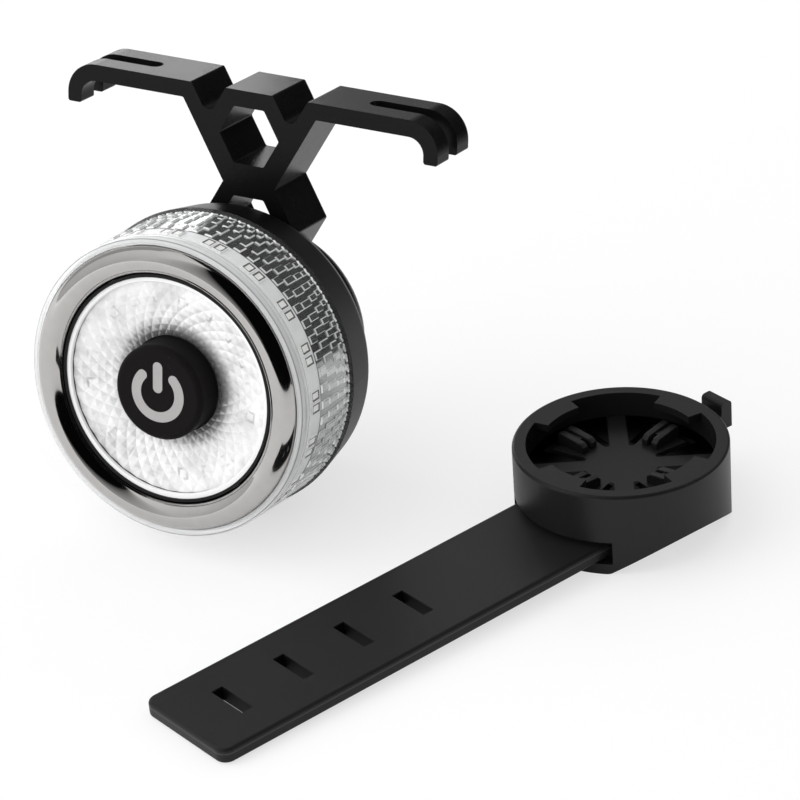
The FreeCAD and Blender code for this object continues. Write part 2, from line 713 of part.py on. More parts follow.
def main_board():
    """Round rear board with its chips, screws and the link to the front board."""
    body = new_body("main_board")
    disc = new_sketch(body, "main_board_disc", level=BOARD_BACK)
    circle(disc, "main_board_radius")
    for angle in SCREW_ANGLES:
        circle(disc, "screw_radius + slip_gap", *screw_spot(angle))
    pad(body, disc, "board_thick")
    keep(body, "main_board", on_light)

    tall = value("chip_tall")
    face = value("main_board_front")
    places = [(-2.0, -2.0, 4.0, 4.0, 1.0), (5.5, 3.0, 3.0, 3.0, 1.0), (-9.0, 4.0, 2.5, 2.5, 1.0),
              (6.5, -5.0, 3.2, 3.2, 1.8), (-9.5, -5.5, 2.0, 1.2, 0.8), (-1.0, 7.5, 2.0, 1.2, 0.8)]
    grid = value("chip_grid")
    chips = [Part.makeBox(wide * grid, deep * grid, tall * share, FreeCAD.Vector(x * grid, y * grid, face))
             for x, y, wide, deep, share in places]
    group("circuit_chips", chips, on_light)

    link = slab("board_link", link_corners("0"), "main_board_front",
                "led_board_front - board_thick - main_board_front")
    keep(link, "board_link", on_light)

    screws = []
    for angle in SCREW_ANGLES:
        x, y = (value(text) for text in screw_spot(angle))
        shank = Part.makeCylinder(value("screw_radius"), value("screw_long"),
                                  FreeCAD.Vector(x, y, face - value("screw_long")))
        head = Part.makeCylinder(value("screw_head"), value("screw_head_tall"), FreeCAD.Vector(x, y, face))
        drive = Part.makeBox(value("screw_head"), value("screw_radius") / 2, value("screw_head_tall") / 2,
                             FreeCAD.Vector(x - value("screw_head") / 2, y - value("screw_radius") / 4,
                                            face + value("screw_head_tall") / 2))
        screws.append(shank.fuse(head).removeSplitter().cut(drive))
    group("board_screws", screws, on_light)


def battery():
    """Flat rechargeable cell on a foam pad, with two leads up to the board."""
    def cell_corners(inset):
        return box_corners("cell_shift - cell_long / 2 + " + inset, "cell_shift + cell_long / 2 - " + inset,
                           "-cell_wide / 2 + " + inset, "cell_wide / 2 - " + inset)

    cell = slab("battery_cell", cell_corners("0"), PAD_FRONT, "cell_tall")
    round_edges(cell, cell.Tip, "cell_round", lambda edge: edge.BoundBox.XLength > 1)
    keep(cell, "battery_cell", on_light)
    keep(slab("battery_pad", cell_corners("pad_inset"), "shell_floor + seat_gap", "pad_thick"),
         "battery_pad", on_light)

    radius, bend = value("lead_radius"), value("lead_bend")
    start = value("cell_wide / 2")
    level = value(PAD_FRONT + " + cell_tall / 2")
    top = value(BOARD_BACK)
    leads = []
    for side in (-1, 1):
        x = value("cell_shift") + side * value("lead_half_gap")
        straight = Part.makeCylinder(radius, bend, FreeCAD.Vector(x, start, level), FreeCAD.Vector(0, 1, 0))
        section = Part.Face(Part.Wire(Part.makeCircle(
            radius, FreeCAD.Vector(x, start + bend, level), FreeCAD.Vector(0, 1, 0))))
        elbow = section.revolve(FreeCAD.Vector(x, start + bend, level + bend), FreeCAD.Vector(1, 0, 0), 90)
        riser = Part.makeCylinder(radius, top - level - bend, FreeCAD.Vector(x, start + 2 * bend, level + bend))
        leads.append(straight.fuse([elbow, riser]).removeSplitter())
    group("battery_leads", leads, on_light)


def charging_port():
    """Sheet-metal socket on the back of the main board, and the rubber flap that covers it."""
    face = value("port_floor - slip_gap")
    level = value(PORT_LEVEL)
    deep, wide, tall = value("usb_deep"), value("usb_wide"), value("usb_tall")
    wall, tongue = value("usb_wall"), value("usb_tongue")

    def slab(thick, height, depth, corner_radius, start):
        """A rounded bar along X, from start to start + depth."""
        bar = Part.makeBox(depth, thick, height, FreeCAD.Vector(start, -thick / 2, level - height / 2))
        edges = [edge for edge in bar.Edges if edge.BoundBox.XLength > depth / 2]
        return bar.makeFillet(corner_radius, edges)

    shell = slab(wide, tall, deep, tall * 0.4, -face)
    hollow = slab(wide - 2 * wall, tall - 2 * wall, deep - 2 * wall, tall * 0.3, -face)
    mouth = value("usb_mouth")
    blade = Part.makeBox(deep - mouth - wall, wide * 0.7, tongue,
                         FreeCAD.Vector(mouth - face, -wide * 0.35, level - tongue / 2))
    socket = doc.addObject("Part::Feature", "usb_socket")
    socket.Shape = shell.cut(hollow).fuse(blade).removeSplitter()
    keep(socket, "usb_socket", on_light)

    skin = doc.addObject("Part::Cone", "flap_skin")
    bind(skin, Radius1="cover_back_radius - cover_back * tan(lean_back)", Radius2="cover_back_radius",
         Height="cover_back")
    slab_box = solid_box("flap_slab", ("cover_back_radius - port_floor - seat_gap", "flap_long", "flap_wide"),
                         ("-cover_back_radius", "-flap_long / 2", PORT_LEVEL + " - flap_wide / 2"))
    keep(combine("MultiCommon", "port_cover", skin, slab_box), "port_cover", on_light)


def rear_shell():
    """Black rear shell: tapered outside, with the spigot, screw posts, port and bayonet foot."""
    body = new_body("rear_shell")
    groove = "spigot_radius - seal_section + seat_gap"
    middle = "cover_back + spigot_rise / 2"
    half = "(seal_section / 2 + seat_gap)"
    taper = "cover_back_radius - (cover_back - shell_back) * tan(lean_back)"
    shape = turned(body, "shell_profile", [
        ("0", "shell_back"), (taper, "shell_back"), ("cover_back_radius", "cover_back"),
        ("spigot_radius", "cover_back"), ("spigot_radius", middle + " - " + half),
        (groove, middle + " - " + half), (groove, middle + " + " + half),
        ("spigot_radius", middle + " + " + half), ("spigot_radius", "cover_back + spigot_rise"),
        ("core_foot + seat_gap", "cover_back + spigot_rise"), ("core_foot + seat_gap", "core_back - seat_gap"),
        ("shell_bore", "core_back - seat_gap"),
        ("shell_bore", "shell_floor"), ("0", "shell_floor")])
    back = value("shell_back")
    round_edges(body, shape, "shell_round",
                lambda edge: abs(edge.BoundBox.ZMax - back) < 1e-4 and len(edge.Vertexes) == 1)

    posts = new_sketch(body, "shell_posts", level="shell_floor")
    holes = new_sketch(body, "shell_post_holes", level=BOARD_BACK + " - seat_gap")
    for angle in SCREW_ANGLES:
        circle(posts, "screw_post", *screw_spot(angle))
        circle(holes, "screw_radius + seat_gap", *screw_spot(angle))
    pad(body, posts, BOARD_BACK + " - seat_gap - shell_floor")
    pocket(body, holes, "screw_long - board_thick")

    foot = new_sketch(body, "shell_foot", level="shell_back")
    circle(foot, "lip_inner - foot_gap")
    pad(body, foot, LUG_BACK + " + shell_back", backward=True)
    lug = new_sketch(body, "shell_lug", level="-lip_thick - slip_gap")
    outline(lug, wedge("lip_inner - foot_gap - socket_wall", WEDGE_REACH, "lug_span", LIP_MIDDLE))
    lug_pad = pad(body, lug, LUG_BACK + " - lip_thick - slip_gap", backward=True)
    ring_pattern(body, [lug_pad], LIP_COUNT)
    trim = new_sketch(body, "shell_lug_trim", level="-lip_thick - slip_gap")
    circle(trim, "socket_bore + 2 * socket_wall")
    circle(trim, "socket_bore - foot_gap")
    pocket(body, trim, LUG_BACK)

    recess = new_sketch(body, "shell_port_recess", "YZ_Plane", level="-port_floor")
    outline(recess, box_corners("-flap_long / 2 - slip_gap", "flap_long / 2 + slip_gap",
                                PORT_LEVEL + " - flap_wide / 2 - slip_gap",
                                PORT_LEVEL + " + flap_wide / 2 + slip_gap"))
    pocket(body, recess, "cover_back_radius")
    mouth = new_sketch(body, "shell_port_mouth", "YZ_Plane", level="-port_floor")
    outline(mouth, box_corners("-usb_wide / 2 - slip_gap", "usb_wide / 2 + slip_gap",
                               PORT_LEVEL + " - usb_tall / 2 - slip_gap",
                               PORT_LEVEL + " + usb_tall / 2 + slip_gap"))
    pocket(body, mouth, "port_floor - shell_bore + 1", forward=True)
    keep(body, "rear_shell", on_light)

    seal = new_body("housing_seal")
    section = new_sketch(seal, "seal_section_sketch", "XZ_Plane")
    circle(section, "seal_section / 2 - seat_gap / 2", groove + " + seal_section / 2", middle)
    hoop = seal.newObject("PartDesign::Revolution", "seal_turned")
    hoop.Profile = section
    hoop.ReferenceAxis = (section, ["V_Axis"])
    hoop.Angle = CIRCLE
    doc.recompute()
    keep(seal, "housing_seal", on_light)


LUG_BACK = "socket_deep - detent_rise - seat_gap * 2"


# Saddle-rail bracket


def saddle_bracket():
    """Two stacked hexagons on a socket ring, with two forked wings that hook under the rails."""
    body = new_body("saddle_bracket")
    ring = turned(body, "ring_profile", [("0", "0"), (SOCKET_OUTER, "0"),
                                         (SOCKET_OUTER, "-bracket_deep"), ("0", "-bracket_deep")])
    back = value("-bracket_deep")
    round_edges(body, ring, "ring_round",
                lambda edge: abs(edge.BoundBox.ZMax - back) < 1e-4 and len(edge.Vertexes) == 1)

    reach = "(hex_hole + hex_wall)"
    half_top = reach + " * tan(30)"
    vertex = reach + " / cos(30)"
    top = "(upper_hex + hex_hole + hex_wall)"
    waist = "(upper_hex - hex_hole - hex_wall)"
    lower = "(upper_hex - 2 * (hex_hole + hex_wall))"
    under = top + " - wing_thick"
    strut = "(vee_mouth + strut_wall / sin(60) - %s)"
    strut_at_waist = strut % ("2 * %s / tan(60)" % reach)
    strut_at_wing = strut % "wing_thick / tan(60)"
    pinch = "(%s - %s) / 2" % (strut_at_waist, half_top)
    side = "hex_hole / cos(30)"
    outside = [
        (vertex + " - hex_hole / tan(60)", lower + " - hex_hole"),
        (vertex, lower),
        (half_top + " + " + pinch, waist + " - (" + pinch + ") * tan(60)"),
        (strut_at_wing, under),
        ("hook_inner", under),
        ("hook_inner", top + " - hook_drop"),
        ("hook_inner + hook_thick", top + " - hook_drop"),
        ("hook_inner + hook_thick", top),
        ("vee_mouth", top),
        ("(vee_mouth + %s) / 2" % half_top, top + " - (vee_mouth - %s) / 2 * tan(60)" % half_top),
        (half_top, top),
        ("0", top)]
    inside = [
        ("0", "upper_hex + hex_hole"), (side + " / 2", "upper_hex + hex_hole"), (side, "upper_hex"),
        (side + " / 2", "upper_hex - hex_hole"), ("0", "upper_hex - hex_hole"),
        ("0", lower + " + hex_hole"), (side + " / 2", lower + " + hex_hole"), (side, lower),
        (side + " / 2", lower + " - hex_hole")]
    web = new_sketch(body, "web_outline")
    outline(web, outside + inside)
    half = pad(body, web, "bracket_deep", backward=True)
    mirror = body.newObject("PartDesign::Mirrored", "web_mirrored")
    mirror.Originals = [half]
    mirror.MirrorPlane = (next(item for item in body.Origin.OriginFeatures if item.Role == "YZ_Plane"), [""])
    body.Tip = mirror
    doc.recompute()

    for sign in (1, -1):
        fork = new_sketch(body, "fork_%s" % ("right" if sign > 0 else "left"), "XZ_Plane", level="-" + top)
        ends = ("%d * wing_slot_end" % sign, "%d * (hook_inner + 2 * hook_thick)" % sign)
        outline(fork, box_corners(ends[0], ends[1], "-bracket_deep / 2 - wing_slot / 2",
                                  "-bracket_deep / 2 + wing_slot / 2"))
        pocket(body, fork, "hook_drop + wing_thick", forward=True)
    slot_end = value("wing_slot_end")
    round_edges(body, body.Tip, "wing_slot * 0.49",
                lambda edge: edge.BoundBox.YLength > 1 and edge.BoundBox.DiagonalLength < edge.BoundBox.YLength + 0.01
                and abs(abs(edge.BoundBox.XMin) - slot_end) < 0.01)

    bend = [(sign * value("hook_inner"), value(under)) for sign in (1, -1)]
    outer_bend = [(sign * value("hook_inner + hook_thick"), value(top)) for sign in (1, -1)]
    notch = [(sign * value("(vee_mouth + %s) / 2" % half_top),
              value(top + " - (vee_mouth - %s) / 2 * tan(60)" % half_top)) for sign in (1, -1)]
    small = [(sign * value(across), value(up)) for across, up in
             (outside[1], outside[3], outside[5], outside[6], outside[8], outside[10]) for sign in (1, -1)]
    small += [(sign * value(across), value(up)) for across, up in inside if across != "0" for sign in (1, -1)]
    for radius, spots in (("hook_bend", bend), ("hook_bend + hook_thick", outer_bend),
                          ("vee_round", notch), ("small_round", small)):
        round_edges(body, body.Tip, radius, upright_at(spots))

    add_socket(body, "bracket_socket", "0", "ring_floor")
    recess = new_sketch(body, "ring_back", level="-bracket_deep")
    circle(recess, "socket_bore - 1")
    pocket(body, recess, "bracket_deep - socket_deep - ring_floor", forward=True)
    keep(body, "saddle_bracket", on_light)


# Seat-post strap mount


def mount_base():
    """Round socket on a saddle for the seat post, with the hook that the strap goes over."""
    body = new_body("mount_base")
    drum = turned(body, "drum_profile", box_corners("0", SOCKET_OUTER, "0", "base_tall"))
    rim = value("base_tall")
    round_edges(body, drum, "rim_round",
                lambda edge: abs(edge.BoundBox.ZMin - rim) < 1e-4 and len(edge.Vertexes) == 1)

    stalk = new_sketch(body, "hook_stalk", "XZ_Plane", level="barb_shift - barb_wide / 2")
    outline(stalk, [("-socket_bore", "barb_low"), ("-barb_reach", "barb_low"), ("-barb_reach", "barb_top"),
                    ("barb_thick - barb_reach", "barb_top"), ("barb_thick - barb_reach", "barb_low + barb_stalk"),
                    ("-socket_bore", "barb_low + barb_stalk")])
    hook = pad(body, stalk, "barb_wide")
    tip = -value("barb_reach")
    round_edges(body, hook, "barb_thick * 0.3",
                lambda edge: edge.BoundBox.XMax < tip + value("barb_thick") + 0.01
                and edge.BoundBox.ZMin > value("barb_low + barb_stalk") and edge.BoundBox.YLength > 1)

    post = new_sketch(body, "post_saddle", "XZ_Plane", level="-socket_bore - 2 * socket_wall")
    circle(post, "post_radius", "0", "saddle_rise - post_radius")
    pocket(body, post, "2 * socket_bore + 4 * socket_wall", forward=True)
    round_edges(body, body.Tip, "foot_round",
                lambda edge: edge.BoundBox.ZMax < 1e-4 and edge.BoundBox.XLength < 1e-4)

    slot = new_sketch(body, "strap_way", "YZ_Plane", level="strap_root - seat_gap")
    outline(slot, box_corners("-strap_wide / 2 - root_room", "strap_wide / 2 + root_room",
                              STRAP_LIFT + " - (socket_bore + socket_wall) * sin(strap_slope) - seat_gap",
                              STRAP_LIFT + " - strap_root * sin(strap_slope) + strap_thick + root_headroom"))
    pocket(body, slot, "socket_bore", forward=True)
    add_socket(body, "mount_socket", "base_tall", "base_tall - socket_deep - slot_base")
    keep(body, "mount_base", on_mount)


def seatpost_strap():
    """Rubber strap with four slots, rooted in the mount and lying down to the floor."""
    body = new_body("seatpost_strap")
    band = new_sketch(body, "strap_outline")
    outline(band, box_corners("strap_root", "strap_reach", "-strap_wide / 2", "strap_wide / 2"))
    strip = pad(body, band, "strap_thick")
    end = value("strap_reach")
    wide = value("strap_wide / 2")
    strip = round_edges(body, strip, "strap_corner", upright_at([(end, wide), (end, -wide)]))
    low, high = 0.0, value("strap_thick")
    root = value("strap_root")
    strip = round_edges(body, strip, "strap_round",
                        lambda edge: not upright(edge) and edge.BoundBox.XMax > root + 1
                        and (abs(edge.BoundBox.ZMax - low) < 1e-4 or abs(edge.BoundBox.ZMin - high) < 1e-4))
    slot = new_sketch(body, "strap_slot", level="strap_thick")
    outline(slot, box_corners("slot_first - slot_wide / 2", "slot_first + slot_wide / 2",
                              "-slot_long / 2", "slot_long / 2"))
    cut = pocket(body, slot, "strap_thick")
    pattern = body.newObject("PartDesign::LinearPattern", "strap_slot_row")
    pattern.Originals = [cut]
    pattern.Direction = (next(item for item in body.Origin.OriginFeatures if item.Role == "X_Axis"), [""])
    bind(pattern, Length="slot_pitch * (strap_slots - 1)")
    pattern.Occurrences = int(value("strap_slots"))
    body.Tip = pattern
    doc.recompute()
    keep(body, "seatpost_strap", on_slope)


side_cover()
chrome_bezel()
bezel_gasket()
front_lens()
button()
led_board()
reflector()
inner_core()
side_lights()
main_board()
battery()
charging_port()
rear_shell()
saddle_bracket()
mount_base()
seatpost_strap()
doc.recompute()

for item in doc.Objects:
    if "Invalid" in item.State or "Error" in item.State:
        raise RuntimeError("%s did not compute: %s" % (item.Name, item.State))
for name, item in SUBPARTS.items():
    if item.Shape.isNull() or not item.Shape.isValid() or not item.Shape.Solids:
        raise RuntimeError("no valid solid in " + name)

os.makedirs("parts", exist_ok=True)
reach = FreeCAD.BoundBox()
for name, item in SUBPARTS.items():
    item.Shape.exportStep("parts/%s.step" % name)
    reach.add(item.Shape.optimalBoundingBox())
    print("%-16s %2d solids %10.2f mm3" % (name, len(item.Shape.Solids), item.Shape.Volume))
print("box", [round(number, 2) for number in
              (reach.XMin, reach.XMax, reach.YMin, reach.YMax, reach.ZMin, reach.ZMax)])
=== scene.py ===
# %% [markdown]
# # A bicycle tail light, dressed for its picture
#
# The light, its saddle bracket and its strap mount arrive as solids with the right sizes and places.
# This lesson gives each of them the look of the real thing: clear moulded plastic with a relief of
# small bricks, a dark chrome ring, a faceted window, soft rubber and grained black nylon.
#
# First the imported solids are loaded.

# %% Load the solids
import math

import bpy
from mathutils import Matrix, Vector


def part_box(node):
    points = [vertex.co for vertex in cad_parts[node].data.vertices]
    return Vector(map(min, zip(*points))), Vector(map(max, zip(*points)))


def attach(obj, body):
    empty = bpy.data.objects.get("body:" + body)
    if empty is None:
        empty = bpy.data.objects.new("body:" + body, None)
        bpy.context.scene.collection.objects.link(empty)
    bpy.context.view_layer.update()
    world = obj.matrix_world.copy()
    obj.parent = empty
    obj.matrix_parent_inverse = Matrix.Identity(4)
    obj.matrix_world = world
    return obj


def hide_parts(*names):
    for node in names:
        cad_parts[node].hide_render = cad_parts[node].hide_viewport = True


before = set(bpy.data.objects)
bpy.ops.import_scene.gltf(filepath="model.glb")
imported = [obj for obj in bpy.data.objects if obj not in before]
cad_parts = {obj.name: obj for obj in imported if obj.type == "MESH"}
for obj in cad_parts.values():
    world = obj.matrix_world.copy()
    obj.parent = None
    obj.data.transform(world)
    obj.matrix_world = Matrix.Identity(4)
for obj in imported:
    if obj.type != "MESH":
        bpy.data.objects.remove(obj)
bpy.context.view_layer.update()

# %% [markdown]
# ## Where things stand
#
# The light leans back on its tapered shell. Its round pieces are easiest to draw round their own
# axis, in millimetres, with Z towards the front and Y up: a bench on which the light lies on its
# back. One matrix then stands every drawn point where the solids are. The strap mount has a bench
# too, with X along the strap, and the studio has the plainest: the table, in millimetres.

# %% The benches
MM = 0.001
STUDIO = Matrix.Scale(MM, 4)
LEAN = math.radians(9.8)
TAPER_RADIUS, TAPER_LEVEL = 20.5, 8.3  # where the taper starts that the light lies on
AXIS_HEIGHT = TAPER_RADIUS * math.cos(LEAN) - TAPER_LEVEL * math.sin(LEAN)
LIGHT_PLACE = (-18.98, 19.845, AXIS_HEIGHT)
LIGHT = STUDIO @ Matrix.Translation(LIGHT_PLACE) @ Matrix.Rotation(math.radians(90) - LEAN, 4, "X")
STRAP_PLACE = (32.47, 25.595, 0)
STRAP_TURN = math.radians(-112.57)
STRAP = STUDIO @ Matrix.Translation(STRAP_PLACE) @ Matrix.Rotation(STRAP_TURN, 4, "Z")


def in_mm(lengths):
    """Lengths in metres, rounded in millimetres."""
    return [round(length / MM, 2) for length in lengths]


low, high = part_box("chrome_bezel")
print("bezel's middle, mm:", in_mm((low + high) / 2))
print("the bench's point there:", in_mm(LIGHT @ Vector((0, 0, 20.6))))

# %% [markdown]
# ## Camera
#
# The picture was taken from 30 degrees above and 30 degrees to the light's right, through a long
# lens. The three directions below are the camera's right, its down and its forward. Blender's
# camera looks along its own -Z with +Y up, so two of them change sign.

# %% Camera
RIGHT = (0.88410, 0.46339, -0.06027)
DOWN = (0.18632, -0.46785, -0.86395)
FORWARD = (-0.42854, 0.75259, -0.49997)
CAMERA_PLACE = (0.22712, -0.372795, 0.27522)
camera = bpy.data.objects.new("camera", bpy.data.cameras.new("camera"))
camera.data.lens = 180
camera.data.sensor_width = 36
camera.data.clip_start = 0.01
axes = Matrix((RIGHT, [-v for v in DOWN], [-v for v in FORWARD]))
camera.matrix_world = Matrix.Translation(CAMERA_PLACE) @ axes.transposed().to_4x4()
bpy.context.scene.collection.objects.link(camera)
bpy.context.scene.camera = camera
bpy.context.scene.view_settings.view_transform = "Standard"
print("camera looks down by", round(math.degrees(math.asin(-FORWARD[2])), 1), "degrees")

# %% [markdown]
# ## Shader arithmetic
#
# Node trees are hard to read as lists of links. This small class wraps the output of a node, so
# that `1 - mask * 0.5` in Python adds the Math nodes that work it out. `between` and `within` make
# the soft-edged masks that most patterns here are built from.

# %% A wire of a shader
class Wire:
    """The output of a node, with arithmetic."""

    def __init__(self, tree, socket):
        self.tree = tree
        self.socket = socket

    def math(self, operation, *others):
        return self.tree.node("Math", {"operation": operation}, self, *others)

    def __add__(self, other):
        return self.math("ADD", other)

    __radd__ = __add__

    def __mul__(self, other):
        return self.math("MULTIPLY", other)

    def __sub__(self, other):
        return self.math("SUBTRACT", other)

    def __rsub__(self, other):
        return self.tree.node("Math", {"operation": "SUBTRACT"}, other, self)

    def __truediv__(self, other):
        return self.math("DIVIDE", other)

    def over(self, level):
        return self.math("GREATER_THAN", level)

    def fraction(self):
        return self.math("FRACT")

    def size(self):
        return self.math("ABSOLUTE")

    def between(self, low, high):
        """0 below low, 1 above high and a straight ramp between them."""
        return self.tree.node("MapRange", {"clamp": True}, self, low, high, 0.0, 1.0)

    def within(self, low, full, fading, high):
        """1 from full to fading, 0 below low and above high, with straight ramps between."""
        return self.between(low, full) - self.between(fading, high)


print("a wire knows:", ", ".join(n for n in dir(Wire) if not n.startswith("_")))

# %% [markdown]
# A tree is what wires run in. Its `node` method makes any node: first its settings, then what goes
# into its sockets, by order or by name. `mix` blends two colours with a Mix node, because a Math
# node would turn them grey. A finish is the tree of one material, and its `bumped` makes a normal
# from a height given in millimetres.

# %% Trees and finishes
class Tree:
    """A node tree, built up from wires."""

    def __init__(self, node_tree):
        self.node_tree = node_tree

    def plug(self, value, socket):
        """Link a wire into a socket, or set its number or colour."""
        if isinstance(value, Wire):
            self.node_tree.links.new(value.socket, socket)
        elif socket.type == "RGBA":
            socket.default_value = (*value, 1.0)
        else:
            socket.default_value = value

    def node(self, kind, settings=None, *values, out=0, **named):
        made = self.node_tree.nodes.new("ShaderNode" + kind)
        for setting, value in (settings or {}).items():
            setattr(made, setting, value)
        for value, socket in zip(values, made.inputs):
            self.plug(value, socket)
        for name, value in named.items():
            self.plug(value, made.inputs[name.replace("_", " ")])
        return Wire(self, made.outputs[out])

    def mix(self, share, first, second):
        made = self.node_tree.nodes.new("ShaderNodeMix")
        made.data_type = "RGBA"
        for value, index in ((share, 0), (first, 6), (second, 7)):
            self.plug(value, made.inputs[index])
        return Wire(self, made.outputs[2])


class Finish(Tree):
    """The tree of one material, round its one shader."""

    def __init__(self, name, **constants):
        self.material = bpy.data.materials.new(name)
        self.material.use_nodes = True
        super().__init__(self.material.node_tree)
        self.shader = self.node_tree.nodes["Principled BSDF"]
        self.set(**constants)

    def set(self, **sockets):
        for name, value in sockets.items():
            self.plug(value, self.shader.inputs[name.replace("_", " ")])
        return self.material

    def colour(self):
        """The wire that feeds the shader's colour so far."""
        return Wire(self, self.shader.inputs["Base Color"].links[0].from_socket)

    def bumped(self, height):
        """A normal from a height in millimetres."""
        return self.node("Bump", None, Strength=1.0, Distance=MM, Height=height)


def grey(tone):
    return tone, tone, tone


def scaled(colour, factor):
    """The same colour, lighter or darker."""
    return [part * factor for part in colour]


print("a finish knows:", ", ".join(n for n in dir(Finish) if not n.startswith("_")))

# %% [markdown]
# ## Places on a surface
#
# Grain, facets and wear need a place to start from. `on_bench` gives a point's place on one of the
# benches, in millimetres, so a pattern keeps its real size and moves with its piece. From a place
# come its three numbers, its distance from the bench's axis and its bearing round it. `speckle` is
# a noise of a given grain size.

# %% Places and speckle
def on_bench(finish, bench):
    """The place of a shaded point on a bench, in millimetres."""
    point = finish.node("TexCoord", None, out="Object")
    return finish.node("Mapping", {"vector_type": "TEXTURE"}, point, bench.to_translation(),
                       bench.to_euler(), (MM, MM, MM))


def parts_of(place):
    """The three numbers of a place."""
    split = place.tree.node("SeparateXYZ", None, place).socket.node
    return [Wire(place.tree, part) for part in split.outputs]


def radius_of(place):
    """How far a place is from the bench's Z axis."""
    across, up = parts_of(place)[:2]
    return (across * across + up * up).math("SQRT")


def bearing_of(place):
    """How far round the bench's Z axis a place is, in radians."""
    across, up = parts_of(place)[:2]
    return up.math("ARCTAN2", across)


def speckle(place, grain, detail=2.0, rough=0.5):
    """Noise from 0 to 1 with grains of about that many millimetres."""
    return place.tree.node("TexNoise", None, Vector=place, Scale=1.0 / grain, Detail=detail,
                           Roughness=rough)


print("bench of the light starts at, mm:", in_mm(LIGHT.to_translation()))

# %% [markdown]
# ## Turned shapes
#
# Rings and discs are turned shapes: a profile of (radius, level) points swept round the axis. A
# lathe of plain quads does it, with more steps round than a solid's facets, so that reflections
# run smoothly. Corners sharper than 35 degrees stay sharp.

# %% A lathe
def new_piece(name, points, faces, bench, material, sharp=35):
    """A mesh piece from points on a bench."""
    mesh = bpy.data.meshes.new(name)
    mesh.from_pydata([bench @ Vector(p) for p in points], [], faces)
    mesh.validate()
    mesh.shade_smooth()
    mesh.set_sharp_from_angle(angle=math.radians(sharp))
    mesh.materials.append(material)
    piece = bpy.data.objects.new(name, mesh)
    bpy.context.scene.collection.objects.link(piece)
    return piece


def ring_spot(angle, radius, level):
    """A point of a bench, from its bearing, radius and level."""
    return radius * math.cos(angle), radius * math.sin(angle), level


def lathe(name, profile, material, steps=288):
    """A closed ring on the light's bench, its profile anticlockwise as seen along +Y."""
    points, faces = [], []
    count = len(profile)
    for step in range(steps):
        angle = 2 * math.pi * step / steps
        points += [ring_spot(angle, radius, level) for radius, level in profile]
        here, there = step * count, (step + 1) % steps * count
        for spot in range(count):
            beside = (spot + 1) % count
            faces.append((here + spot, there + spot, there + beside, here + beside))
    return new_piece(name, points, faces, LIGHT, material)


def rounded(corner, before, after, radius, steps=6):
    """Points of an arc that rounds a corner of a profile."""
    corner, before, after = (Vector(p) for p in (corner, before, after))
    back, on = (before - corner).normalized(), (after - corner).normalized()
    half = back.angle(on) / 2
    reach = radius / math.tan(half)
    centre = corner + (back + on).normalized() * radius / math.sin(half)
    start, end = corner + back * reach - centre, corner + on * reach - centre
    swing = start.angle_signed(end)
    return [tuple(centre + Matrix.Rotation(-swing * i / steps, 2) @ start) for i in range(steps + 1)]


print("arc test:", [tuple(round(v, 2) for v in p) for p in rounded((1, 1), (0, 1), (1, 0), 0.5, 2)])

# %% [markdown]
# ## Clear plastic
#
# The cover is clear polycarbonate. Real glass shading would need many samples to light what lies
# behind it, so this plastic is see-through by its alpha: nearly open when looked at squarely, and
# closing towards the rims and in the front lip, where the real one turns milky and bright. The
# lip's fine steps throw thin dark lines, and these are painted shade in its colour, by level and radius.

# %% Clear plastic
def cover_finish():
    finish = Finish("clear cover", Roughness=0.06, IOR=1.58)
    place = on_bench(finish, LIGHT)
    edge = finish.node("LayerWeight", None, out="Facing", Blend=0.25)
    haze = speckle(place, 2.4)
    level, radius = parts_of(place)[2], radius_of(place)
    lip = level.between(19.3, 19.7)
    # painted shade: thin dark lines where the lip's steps and the top of its brim throw shade
    shade_lines = level.within(19.42, 19.50, 19.56, 19.64) + level.within(20.14, 20.22, 20.32, 20.40) * 0.8
    brim_shade = radius.within(19.86, 19.91, 20.00, 20.06) * level.between(20.4, 20.5)
    wall = (0.80, 0.81, 0.81)
    pale = finish.mix(lip, finish.mix(haze, wall, scaled(wall, 0.93)), (0.90, 0.91, 0.91))
    # the painted shade lines, which darken the cover's colour
    dark = (shade_lines * 0.7).math("MAXIMUM", brim_shade * 0.9)
    closed = 0.02 + edge * edge * 0.20 + haze * 0.03
    return finish.set(Base_Color=finish.mix(dark, pale, (0.22, 0.23, 0.23)),
                      Alpha=closed + lip * 0.50 + (shade_lines + brim_shade) * 0.3,
                      Normal=finish.bumped(haze * 0.03))


cover_plastic = cover_finish()
print("clear cover nodes:", len(cover_plastic.node_tree.nodes))

# %% [markdown]
# ## The clear side cover
#
# On the real light this is one clear moulding: a slightly conical wall with a lip that frames the
# chrome. The lip has a fine step where the wall ends, and a groove in its front.

# %% Side cover
def cover_profile():
    """Up the wall, over the lip's step, its rounded edge and its groove, and back inside."""
    wall = [(19.4, 8.3), (20.5, 8.3), (20.22, 19.45)]
    step = [(20.16, 19.52), (20.17, 19.62)]
    edge = rounded((20.2, 21.0), (20.5, 8.3), (19.25, 21.0), 0.6)[1:]
    groove = [(19.45, 21.0), (19.4, 20.94), (19.35, 21.0)]
    inside = [(19.25, 21.0), (19.25, 19.4), (19.3, 19.25)]
    return wall + step + edge + groove + inside


cover = lathe("cover_shell", cover_profile(), cover_plastic)
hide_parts("side_cover")
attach(cover, "light_body")
print("cover faces:", len(cover.data.polygons))

# %% [markdown]
# ## The brick relief
#
# Behind the light chips, the inside of the cover is moulded into rings of small raised blocks, laid
# like bricks. Flat tops and floors mirror the studio, while the sloping sides between them catch the
# light as bright lines. The clear wall bends light, so that all this seems to lie just under its
# outer face. The see-through plastic here doesn't bend it, and the relief is drawn where it seems
# to be. Its finish tells tops, slopes and floors apart by their radius, and the slopes' bright lines
# are a painted highlight: a pale colour that is much less metallic.

# %% Relief finish
BASE_RADIUS, TOP_RADIUS = 19.95, 20.2


